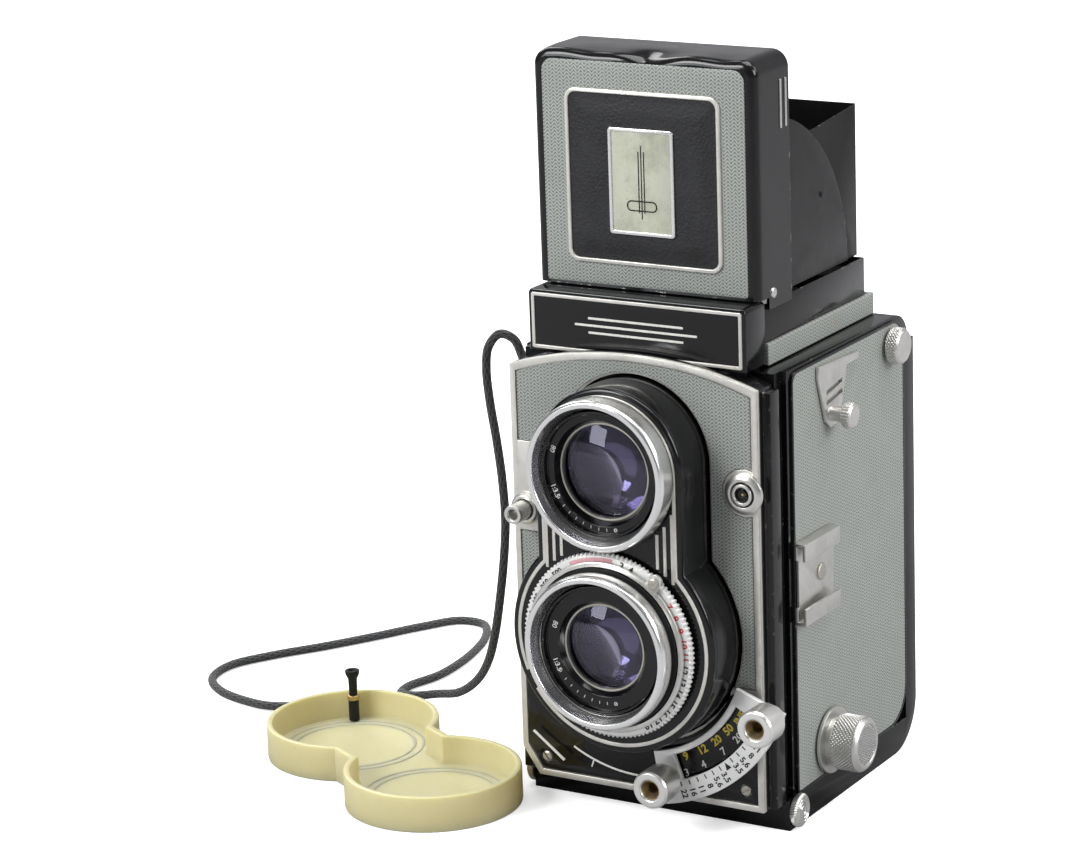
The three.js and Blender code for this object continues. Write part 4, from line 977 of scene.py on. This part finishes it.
def add_lens(name, z, radius, throat, ring_outer, ring_ys, glass_ys):
    """One lens: bright barrel, black ring, coated front glass, and dark inner faces behind it.

    ring_ys are the ring's back, front and inner edge, glass_ys the glass's edge, crown and back.
    """
    rim, seat = low(name + "_barrel").y, high(name + "_barrel").y
    glass_radius = high(name + "_glass").x
    ring_back, ring_front, ring_inner = ring_ys
    edge_y, crown_y, back_y = glass_ys

    def add(piece, profile, sides, fillet, material, *nodes, smooth=32):
        solid = turned(name + piece, profile, "y", 0, z, sides, fillet, smooth=smooth)
        keep(solid, "lens_carriage", material, *nodes)

    barrel = [(throat, seat)]
    barrel += near(radius, seat, (-0.7, 0), (-0.7, -0.5), (-0.25, -0.5), (-0.25, -1.2), (0, -1.4))
    barrel += near(radius, rim, (0, 1.2), (-0.25, 0.4), (-0.7, 0), (-1.8, 0), (-2.0, 0.3), (-2.3, 1.6))
    barrel += near(throat, rim, (0.35, 3.5), (0, 3.8)) + [(throat, seat)]
    add("_barrel_fine", barrel, 192, 0.22, BRIGHT, name + "_barrel")
    inner = glass_radius + 0.25
    face = ring_front + 1.4
    ring = [(inner, ring_back), (ring_outer, ring_back)] + near(ring_outer, ring_front, (0, 0), (-0.6, 0))
    ring += [(ring_outer - 0.8, face)] + near(inner, face, (1.0, 0), (0.8, 0.4))
    ring += [(inner, ring_inner + 0.3), (inner, ring_back)]
    add("_ring", ring, 160, 0.12, GLOSS, name + "_retainer")
    across = (ring_outer - 0.8 + inner + 1.0) / 2
    words = (("1:3.5", 204), ("80", 160), ("o", 285))
    marks = [polar(word, 1.45, across, angle, z, False) for word, angle in words]
    marks += [polar("I", 0.8, across, angle, z, False) for angle in range(212, 276, 9)]
    keep(letters(name + "_ring_marks", marks, face - 0.02, 0.06, 0.02), "lens_carriage", WHITE)
    dome = [(0, back_y + 1.4)]
    dome += [(glass_radius * s, back_y + 1.4 * (1 - s * s)) for s in (0.25, 0.5, 0.75, 1.0)]
    for i in range(13):
        share = 1 - i / 12
        dome.append((glass_radius * share, crown_y + (edge_y - crown_y) * share * share))
    add("_front_glass", dome, 128, 0, GLASS, name + "_glass", smooth=40)
    lip = near(glass_radius, edge_y, (-0.5, 0.1), (0.2, -0.3), (0.2, -0.75), (-0.25, -0.75), (-0.5, 0.1))
    add("_bezel", lip, 128, 0.06, TIN)
    tunnel = near(glass_radius, back_y, (0.15, 0.1))
    for i in range(7):
        r = glass_radius - 0.4 - i * 0.45
        a = back_y + 0.3 + i * 0.95
        tunnel += [(r, a), (r, a + 0.8), (r - 0.3, a + 0.8)]
    tunnel += [(0, back_y + 8.0), (0, back_y + 8.6)] + near(glass_radius, back_y, (0.15, 8.6), (0.15, 0.1))
    add("_tunnel", tunnel, 96, 0.08, MATT)
    small, middle_y = glass_radius - 1.9, back_y + 4.6
    lens = [(0, middle_y)] + [(small * s, middle_y - 1.7 * s * s) for s in (0.2, 0.4, 0.6, 0.8, 1.0)]
    lens += [(small, back_y + 4.8), (0, back_y + 5.6)]
    add("_second_glass", lens, 96, 0, INNER, smooth=40)


add_housing()
add_lens("viewing", VIEW_Z, 20.1, 16.9, 16.6, (-54.5, -60.6, -57.6), (-56.6, -59.0, -55.2))
add_lens("taking", TAKE_Z, 20.8, 17.6, 17.2, (-56.5, -63.0, -60.4), (-59.4, -61.6, -58.0))


def add_shutter():
    """The drum behind the taking lens, the figured exposure ring and the aperture's index ring and lug."""
    case = [(18.2, -48), (21.4, -48), (21.4, -56.3), (23.6, -56.3), (23.6, -57), (21.4, -57), (21.4, -60.4),
            (17.6, -60.4), (17.6, -58), (18.2, -58), (18.2, -48)]
    keep(turned("shutter_drum", case, "y", 0, TAKE_Z, 128, 0.12), "lens_carriage", MATT, "shutter_case")

    front, rear = low("ev_ring").y, high("ev_ring").y
    teeth = knurl(118, 0.55, rear - 1.25, rear + 0.1, 24.4)
    ring = near(0, rear, (21.7, 0), (25.1, 0), (25.1, -0.9), (24.75, -1.15))
    ring += [(24.2, front), (21.7, front), (21.7, rear)]
    dial = turned("exposure_dial", ring, "y", 0, TAKE_Z, 944, 0.06, teeth, smooth=40)
    keep(dial, "exposure_ring", DIAL, "ev_ring")
    face = front - 0.02
    values = [(str(n), 44 - 8.6 * (n - 6)) for n in range(7, 19)]
    red, black = values[:5], [("3", 77), ("4", 70)] + values[5:]
    marks = [polar(words, 1.95, 22.9, angle, TAKE_Z) for words, angle in black]
    speeds = [("500", 128), ("250", 141), ("125", 154), ("60", 166)]
    marks += [polar(words, 1.55, 22.95, angle, TAKE_Z) for words, angle in speeds]
    keep(letters("dial_black", marks, face, 0.05, 0.07), "exposure_ring", BLACK)
    marks = [polar(words, 1.95, 22.9, angle, TAKE_Z) for words, angle in red]
    keep(letters("dial_red", marks, face, 0.05, 0.07), "exposure_ring", RED)
    zone = plate("dial_zone", [sector(0, TAKE_Z, 22.2, 23.9, 84, 116)], "y", face - 0.02, face + 0.1, 0.01)
    keep(zone, "exposure_ring", PINK)

    flat = [(21.7, -59.2), (23.0, -59.2), (23.0, -60.0), (22.7, -60.2), (21.7, -60.2), (21.7, -59.2)]
    band = turned("aperture_band", flat, "y", 0, TAKE_Z, 160, 0.08)
    keep(band, "aperture_index", SILVER, "aperture_ring")
    lug = [(22.3, -1.9), (25.6, -1.9)] + arc(25.2, 0, 1.9, -80, 80, 14) + [(25.6, 1.9), (22.3, 1.9)]
    lug = placed(*lug, at=(0, TAKE_Z), turn=rad(52))
    keep(plate("aperture_lug", [lug], "y", -60.25, -59.3, 0.1), "aperture_index", SILVER)
    x, z = placed((24.6, 0), at=(0, TAKE_Z), turn=rad(52))[0]
    screw = slotted("aperture_screw", x, z, -60.1, -60.95, 1.5, 20, 0.4, 0.35)
    keep(screw, "aperture_index", TIN)


add_shutter()


def add_lever():
    """The arc under the taking lens, with depth marks either side of its pointer, and its two knobs."""
    front, rear = low("focus_lever").y, high("focus_lever").y
    pointer, first_stop, stop_step = -50.0, 21.0, 3.6
    raised = (front - 0.05, front + 0.1, 0.01)
    outer = sector(0, TAKE_Z, 32.6, 47.3, -80, -20)
    window = sector(0, TAKE_Z, 34.3, 41.3, -70, -28)
    keep(plate("focus_arc", [outer, window], "y", front, rear, 0.2), "focus_arm", DIAL, "focus_lever")
    marks, ticks = [], []
    for index, words in enumerate(("22", "16", "11", "8", "5,6", "3,5")):
        offset = first_stop - stop_step * index
        for sign in (-1, 1):
            angle = pointer + sign * offset
            marks.append((*polar(words, 1.75, 45.1, angle, TAKE_Z)[:4], angle))
        for sign in (1, -1):
            angle = pointer + sign * offset
            tick = sector(0, TAKE_Z, 41.7, 43.0, angle - 0.22, angle + 0.22, 2)
            ticks.append(plate("tick", [tick], "y", *raised))
    keep(letters("depth_marks", marks, front - 0.02, 0.06, 0.06), "focus_arm", BLACK)
    corners = ((41.7, 0), (43.8, -1.2), (43.8, 1.2))
    point = [polar("", 1, radius, pointer + turn, TAKE_Z)[2:4] for radius, turn in corners]
    ticks.append(plate("tick", [point], "y", *raised))
    keep(join("depth_ticks", ticks), "focus_arm", BLACK)
    for side in ("left", "right"):
        node = "focus_knob_" + side
        at, end, foot_y = middle(node), low(node).y, high(node).y
        head = [(0, foot_y), (3.4, foot_y)]
        head += near(0, end, (3.4, 8.4), (4.3, 8.2), (5.1, 7.6), (5.1, 0.7), (4.6, 0), (3.1, 0), (2.8, 0.2),
                     (1.75, 2.3), (1.6, 6), (0, 6))
        teeth = knurl(40, 0.55, end + 0.9, end + 7.4, 4.8)
        keep(turned(node + "_fine", head, "y", at.x, at.z, 264, 0.15, teeth), "focus_arm", KNOB, node)
        cone = near(0, end, (0, 5.6), (1.5, 5.6), (1.62, 2.6), (2.6, 0.62), (2.45, 0.5), (1.4, 2.3),
                    (1.2, 5.2), (0, 5.2))
        keep(turned(node + "_cone", cone, "y", at.x, at.z, 60, 0.05), "focus_arm", CONE)


add_lever()

# ---------------------------------------------------------------- knobs, film parts and back


def add_knobs():
    """The spool knob, the counter's knob, the door's two buttons, and the winding knob with its gears."""
    face = SIDE_FACE
    at, end = middle("film_knob"), high("film_knob").x
    knob = [(0, 24.5), (2.05, 24.5)]
    knob += near(0, face, (2.05, 0), (9, 0), (9, 0.9), (6.4, 1.0), (6.4, 2.6), (7.2, 2.6), (7.6, 3.0))
    knob += near(0, end, (7.6, -1.4), (6.9, -0.5), (6.3, 0), (5.6, 0), (5.4, -0.4), (0, -0.4))
    grip = hatch(44, 1.1, 0.5, face + 2.9, end - 1.2, 7.2)
    knob = turned("spool_knob", knob, "x", at.y, at.z, 264, 0.12, grip, 0.28, 50)
    keep(knob, "spool_pull", SILVER, "film_knob")
    lines = []
    for index in range(-8, 9):
        v = index * 0.62
        half = math.sqrt(max(5.3 ** 2 - v * v, 0.1))
        for slope in (0.5, -0.5):
            corners = [(-half, v - 0.14), (half, v - 0.14), (half, v + 0.14), (-half, v + 0.14)]
            corners = placed(*corners, at=(at.y, at.z), turn=slope)
            lines.append(prism("line", corners, "x", end - 0.5, end - 0.22))
    keep(join("spool_knob_hatch", lines), "spool_pull", BRIGHT)

    at, end = middle("counter_knob"), high("counter_knob").x
    knob = [(0, 34.8), (1.6, 34.8), (1.6, face), (4.3, face), (5, face + 0.5), (5, end - 0.9), (4.2, end),
            (0, end)]
    grip = hatch(32, 0.9, 0.35, face + 0.4, end - 0.7, 4.6)
    knob = turned("counter_cap", knob, "x", at.y, at.z, 288, 0.12, grip, 0.25, 50)
    keep(knob, "counter", SILVER, "counter_knob")

    for side, sign in SIDES:
        node = "latch_button_" + side
        at = middle(node)
        end = max(abs(low(node).x), abs(high(node).x))
        head = near(0, end, (0, -5.7), (1.6, -5.7), (1.6, -2), (4.1, -2), (4.5, -1.6), (4.5, -0.5), (3.8, 0),
                    (0, 0), sign=sign)
        grip = knurl(40, 0.3, *sorted((sign * (end - 1.8), sign * (end - 0.3))), 4.2)
        keep(turned(node + "_fine", head, "x", at.y, at.z, 240, 0.1, grip), "latch_" + side, SILVER, node)
        rings = []
        for radius in (1.2, 2.3, 3.2):
            ridge = near(radius, end, (-0.2, -0.1), (0, 0.12), (0.2, -0.1), (-0.2, -0.1), sign=sign)
            rings.append(turned("ridge", ridge, "x", at.y, at.z, 72, 0))
        keep(join(node + "_rings", rings), "latch_" + side, BRIGHT)

    at = middle("advance_knob")
    end, inner_end = low("advance_knob").x, high("advance_knob").x
    knob = near(0, end, (0, 0), (8.5, 0), (9.2, 0.5), (10.8, 0), (12, 0.9))
    knob += near(0, -face, (12, -2), (9, -2), (9, 0), (3, 0))
    knob += [(3, -36.6), (2, -36.6), (2, inner_end), (0, inner_end)]
    grip = knurl(60, 0.5, end + 1.4, -face - 2.2, 11.5)
    keep(turned("winding_knob", knob, "x", at.y, at.z, 360, 0.15, grip), "advance", SILVER, "advance_knob")
    refined("advance_gear", "advance", BRASS, 0.04, 1)
    refined("takeup_gear", "takeup", BRASS, 0.04, 1)


def add_film_parts():
    """Spools, rollers and pressure plate, and the threaded socket under the door."""
    for name, body in (("supply_spool", "supply"), ("takeup_spool", "takeup")):
        at, half = middle(name), high(name).x
        reel = near(0, -half, (2.3, 0), (11.9, 0), (11.9, 1), (6, 1))
        reel += near(0, half, (6, -1), (11.9, -1), (11.9, 0), (2.3, 0)) + [(2.3, -half)]
        keep(turned(name + "_fine", reel, "x", at.y, at.z, 72, 0.12), body, MATT, name, slot="black_plastic")
    for name, body in (("roller_lower", "lower_roller"), ("roller_upper", "upper_roller")):
        at, half = middle(name), high(name).x
        rod = near(0, -half, (0, 0), (1.2, 0), (1.2, 2), (3, 2))
        rod += near(0, half, (3, -2), (1.2, -2), (1.2, 0), (0, 0))
        keep(turned(name + "_fine", rod, "x", at.y, at.z, 48, 0.1), body, SILVER, name)
    refined("pressure_plate", "film_pressure", MATT, 0.2, slot="satin_silver")
    at = middle("tripod_bush")
    bush = [(4.8, 0.1), (9.4, 0.1), (9.4, 1.9), (11.8, 1.9), (11.8, 3), (6.4, 3), (6.4, 5), (4.8, 5),
            (4.8, 0.1)]

    def threads(r, a, angle):
        return r + 0.25 * np.abs(np.sin(0.5 * (angle + TAU * a))) * (r < 4.9)

    socket = turned("tripod_socket", bush, "z", at.x, at.y, 96, 0.1, threads, 0.2)
    keep(socket, "back", SILVER, "tripod_bush")


def door_outline(inset):
    """The door from the side: a floor, a round lower corner and a back, less an inset where it is hollow."""
    front, rear, top, corner = low("back_door").y, 44.4, 116.2, 14
    radius = corner - inset
    upper, seat_y, seat_z = (top + 5, 32.9, 13.6) if inset else (top, 37.9, 8.6)
    curve = arc(rear - corner, corner, radius, -90, 0, 28)
    return [(front + inset, inset)] + curve + [(rear - inset, upper), (seat_y, upper), (seat_y, seat_z),
                                               (front + inset, seat_z)]


def add_door():
    """The door with its hinge, leather panel and bright bead."""
    half, face = high("back_door").x, 44.2
    button = middle("latch_button_right")
    shell = prism("door_shell", door_outline(0), "x", -half, half)
    hollow = prism("door_hollow", door_outline(1.6), "x", -half + 1.3, half - 1.3)
    bush = [(0, -1), (9.65, -1), (9.65, 3), (0, 3)]
    bush = turned("door_bush", bush, "z", 0, middle("tripod_bush").y, 64, 0)
    pins = [(0, -60), (1.85, -60), (1.85, 60), (0, 60)]
    pins = turned("door_pins", pins, "x", button.y, button.z, 32, 0)
    door = carve(shell, hollow, bush, pins)
    keep(chamfer(door, 0.55, 4), "back", GLOSS, "back_door")
    knuckle = [(1.05, -19.6), (1.7, -19.6), (1.7, 19.6), (1.05, 19.6), (1.05, -19.6)]
    keep(turned("door_knuckle", knuckle, "x", *HINGE_AT, 40, 0.15), "back", MATT, slot="gloss_paint")
    panel = rounded(-half + 3.6, half - 3.6, 21.5, 108.5, 2.2)
    keep(plate("door_leather", [panel], "y", face, 44.85, 0.2), "back", LEATHER)
    groove = [rounded(-half + 2.6, half - 2.6, 20.5, 109.5, 3.0), panel]
    keep(plate("door_bead", groove, "y", face, 44.7, 0.15), "back", TRIM)
    keep(chamfer(block("door_leaf", -19.5, 19.5, 42.8, face, 114.2, HINGE_AT[1]), 0.2), "back", GLOSS)


add_knobs()
add_film_parts()
add_door()

# ---------------------------------------------------------------- hood


def add_lid():
    """The hood's lid: a thin dented shell with its leather cover, framed panel, badge and side bars."""
    box_low, box_high = low("hood_lid"), high("hood_lid")
    outer, front, edge, foot_z, top = box_high.x, box_low.y, box_high.y, box_low.z, box_high.z
    side, sheet, corner = 0.8, 0.9, 4.5

    def arch(inset, foot_z):  # the lid from the front
        radius = corner - inset
        return rounded(-outer + inset, outer - inset, foot_z, top - inset, [0, 0, radius, radius], 14)

    rings = []
    roll, parts = 2.2, 48
    for step in range(8):
        angle = math.pi / 2 * step / 7
        y = front + roll * (1 - math.cos(angle))
        points = arch(roll * (1 - math.sin(angle)), foot_z)
        (x0, z0), (x1, z1) = points[16:18]
        ridge = [(x0 + (x1 - x0) * k / parts, z0 + (z1 - z0) * k / parts) for k in range(1, parts)]
        rings.append([(x, y, z) for x, z in points[:17] + ridge + points[17:]])
    rings.append([(x, edge, z) for x, _, z in rings[-1]])
    shell = loft("lid_shell", rings)
    hollow = prism("lid_hollow", arch(side, foot_z - 2), "y", front + sheet, edge + 3)
    cut = block("lid_cut", -50, 50, -60, -26.7, foot_z - 3, 142.1)
    shell = carve(shell, hollow, cut)
    shell = score(shell, "x", [k * 1.4 for k in range(-20, 21)])
    shell = score(shell, "y", [front + k for k in (3.2, 4.6, 6.0, 8.0, 11.0)])
    for v in shell.data.vertices:  # the dent in the middle of the lid's top edge
        x, y, z = v.co / MM
        share = max(0.0, (z - (top - 5)) / 5) * max(0.0, min(1.0, (front + 7 - y) / 7))
        v.co.z -= share * 2.3 * math.exp(-abs(x / 6.0) ** 1.3) * MM
        v.co.y += share * 1.2 * math.exp(-(x / 5.0) ** 2) * MM
        v.co.z -= share * 0.35 * (1 + math.sin(x * 0.33)) * MM
    keep(shade(shell, 40), "hood_front", WORN, "hood_lid")

    cover = rounded(-29.4, 29.4, 142.8, 201.3, [0.8, 0.8, 3.2, 3.2])
    keep(plate("lid_cover", [cover], "y", front - 0.35, front + 0.3, 0.25), "hood_front", LEATHER)
    rim = rounded(-22.6, 22.6, 148.6, 194.3, 3.2)
    gap = rounded(-21.5, 21.5, 149.7, 193.2, 2.3)
    keep(plate("lid_frame", [rim, gap], "y", front - 1.0, front + 0.2, 0.25), "hood_front", TRIM)

    cells, half_x, half_z, slope = 56, 21.5, 21.75, 5.5
    verts = []
    for i in range(cells + 1):
        for j in range(cells + 1):
            u, v = 2 * j / cells - 1, 2 * i / cells - 1
            ramp = min(1.0, min(half_x * (1 - abs(u)), half_z * (1 - abs(v))) / slope)
            rise = ramp * ramp * (3 - 2 * ramp)
            wave = 0.10 * math.sin(7.1 * u + 2.0 * v) * math.cos(5.3 * v)
            verts.append((half_x * u, front - 0.5 - rise * (0.72 + wave), 171.45 + half_z * v))
    panel = from_rows("lid_panel", verts, quads(cells + 1, cells + 1, False))
    keep(shade(panel, 60), "hood_front", VELVET)

    bx, bz0, bz1 = high("lid_badge").x, low("lid_badge").z, high("lid_badge").z
    ring = [rounded(-bx, bx, bz0, bz1, 0.9), rounded(-bx + 0.9, bx - 0.9, bz0 + 0.9, bz1 - 0.9, 0.4)]
    badge = plate("badge_frame", ring, "y", front - 1.75, front - 0.6, 0.15)
    keep(badge, "hood_front", BRIGHT, "lid_badge")
    field = rounded(-bx + 0.8, bx - 0.8, bz0 + 0.8, bz1 - 0.8, 0.3)
    keep(plate("badge_field", [field], "y", front - 1.45, front - 0.7, 0.05), "hood_front", AGED)
    lines = []
    centre = (bz0 + bz1) / 2
    for x, half in ((-0.8, 8.0), (0.0, 9.6), (0.8, 8.0)):
        line = rounded(x - 0.13, x + 0.13, centre - half, centre + half, 0.1)
        lines.append(plate("line", [line], "y", front - 1.55, front - 1.4, 0.03))
    oval = [rounded(-4.4, 4.4, centre - 7.6, centre - 4.8, 1.3),
            rounded(-4.1, 4.1, centre - 7.3, centre - 5.1, 1.0)]
    lines.append(plate("line", oval, "y", front - 1.6, front - 1.4, 0.03))
    keep(join("badge_lines", lines), "hood_front", MATT, slot="satin_silver")

    bars = []
    for sign in (1, -1):
        for y in (-19.0, -16.2):
            outline = rounded(y - 0.45, y + 0.45, 184.6, 197.2, 0.2)
            bars.append(plate("bar", [outline], "x", sign * (outer - 0.1), sign * (outer + 0.3), 0.1))
        rivet = near(0, outer, (0, -0.2), (1.5, -0.2), (1.3, 0.4), (0.6, 0.6), (0, 0.6), sign=sign)
        bars.append(turned("rivet", rivet, "x", *HOOD_RIVET_AT, 40))
    keep(join("lid_bars", bars), "hood_front", SILVER)


def add_wings():
    """The hood's two side wings, quarter discs with a small hole and a rivet each."""
    pivot_y, pivot_z, radius = -24.5, 141, 46.5
    for side, sign in SIDES:
        node = "hood_wing_" + side
        inner, outer = sorted((sign * 30.3, sign * 30.6))
        curve = arc(pivot_y, pivot_z, radius, 0.3, 90, 60)
        outline = [(pivot_y - 3.4, pivot_z + 1.4), (pivot_y, pivot_z + 0.2)] + curve
        outline.append((pivot_y - 3.4, pivot_z + radius - 1))
        wing = prism(node + "_sheet", outline, "x", inner, outer)
        hole = [(19.2, 155.4), (21.4, 156.0), (20.0, 158.2)]
        hole = prism(node + "_hole", hole, "x", inner - 1, outer + 1)
        keep(chamfer(carve(wing, hole), 0.08, 2), "hood_front", SHEET, node)
        rivet = near(0, 30.55, (0, 0), (1.1, 0), (0.9, 0.3), (0, 0.42), sign=sign)
        keep(turned(node + "_rivet", rivet, "x", 7.3, 162.3, 32, 0.1), "hood_front", SHEET)


add_lid()
add_wings()
refined("hood_rear_panel", "hood_rear", SHEET, 0.08, 2)
refined("hood_magnifier", "magnifier", MATT, 0.1, 2)

# ---------------------------------------------------------------- stage


def stage_material(name, colour, roughness):
    """Bright paper where the camera sees it, and darker where it lights or is mirrored."""
    g = Graph(name)
    tone = g.mix(g.noise(3, 2), colour, tuple(c * 0.99 for c in colour))
    seen = g.add("BsdfDiffuse", None, {"Color": tone, "Roughness": roughness})
    glow = g.add("Emission", None, {"Color": (1, 1, 1, 1), "Strength": 0.5})
    both = g.add("AddShader", None, {0: seen.outputs[0], 1: glow.outputs[0]})
    dim = g.add("BsdfDiffuse", None, {"Color": (0.42, 0.42, 0.43, 1), "Roughness": roughness})
    ray = g.add("LightPath").outputs["Is Camera Ray"]
    mixed = g.add("MixShader", None, {0: ray, 1: dim.outputs[0], 2: both.outputs[0]})
    g.tree.links.new(mixed.outputs[0], g.out.inputs[0])
    return g.material


def add_stage():
    """White paper that bends up behind the camera, in metres."""
    width, front, far, tall, bend = 6.0, -3.0, 2.2, 3.0, 0.8
    profile = [(front, 0.0)] + [(far - bend + bend * math.sin(t), bend - bend * math.cos(t))
                               for t in np.linspace(0, math.pi / 2, 24)] + [(far, tall)]
    verts = [(x / MM, y / MM, z / MM) for x in (-width, width) for y, z in profile]
    floor = shade(from_rows("backdrop", verts, quads(2, len(profile), False)), 60)
    floor.data.materials.append(stage_material("paper", (0.93, 0.93, 0.93), 0.55))


def add_light(name, place, target, size, power, colour=(1, 1, 1), tall=None):
    light = bpy.data.lights.new(name, "AREA")
    light.shape = "RECTANGLE"
    light.size = size
    light.size_y = tall or size
    light.energy = power
    light.color = colour
    obj = bpy.data.objects.new(name, light)
    bpy.context.scene.collection.objects.link(obj)
    obj.location = place
    obj.rotation_euler = (Vector(target) - Vector(place)).to_track_quat("-Z", "Y").to_euler()
    return obj


def add_world():
    """Soft light from all round, and plain white where the camera sees past the paper."""
    world = bpy.data.worlds.new("studio")
    bpy.context.scene.world = world
    world.use_nodes = True
    tree = world.node_tree
    tree.nodes.clear()
    out, ray, mixed, ambient, paper = [tree.nodes.new("ShaderNode" + kind) for kind in (
        "OutputWorld", "LightPath", "MixShader", "Background", "Background")]
    for node, colour, strength in ((ambient, (0.95, 0.97, 1.0, 1), 0.16), (paper, (1, 1, 1, 1), 1.0)):
        node.inputs[0].default_value = colour
        node.inputs[1].default_value = strength
    sources = (ray.outputs["Is Camera Ray"], ambient.outputs[0], paper.outputs[0])
    for index, source in enumerate(sources):
        tree.links.new(source, mixed.inputs[index])
    tree.links.new(mixed.outputs[0], out.inputs[0])


add_stage()
add_world()
centre = (0, 0, 0.08)
add_light("key", (-0.75, -1.2, 1.05), centre, 0.7, 21)
add_light("side", (1.5, -0.1, 0.75), centre, 0.7, 14)
add_light("top", (0.1, 0.15, 1.5), centre, 1.1, 20)
add_light("window", (-0.86, -1.32, 0.40), (0, -0.05, 0.08), 0.42, 3.2, (0.92, 0.96, 1.0), 0.34)
add_light("paper_left", (-1.6, 1.2, 1.4), (-0.2, 2.0, 0.3), 1.2, 20)
add_light("paper_right", (1.6, 1.2, 1.4), (0.2, 2.0, 0.3), 1.2, 20)
bpy.context.scene.view_settings.view_transform = "Standard"
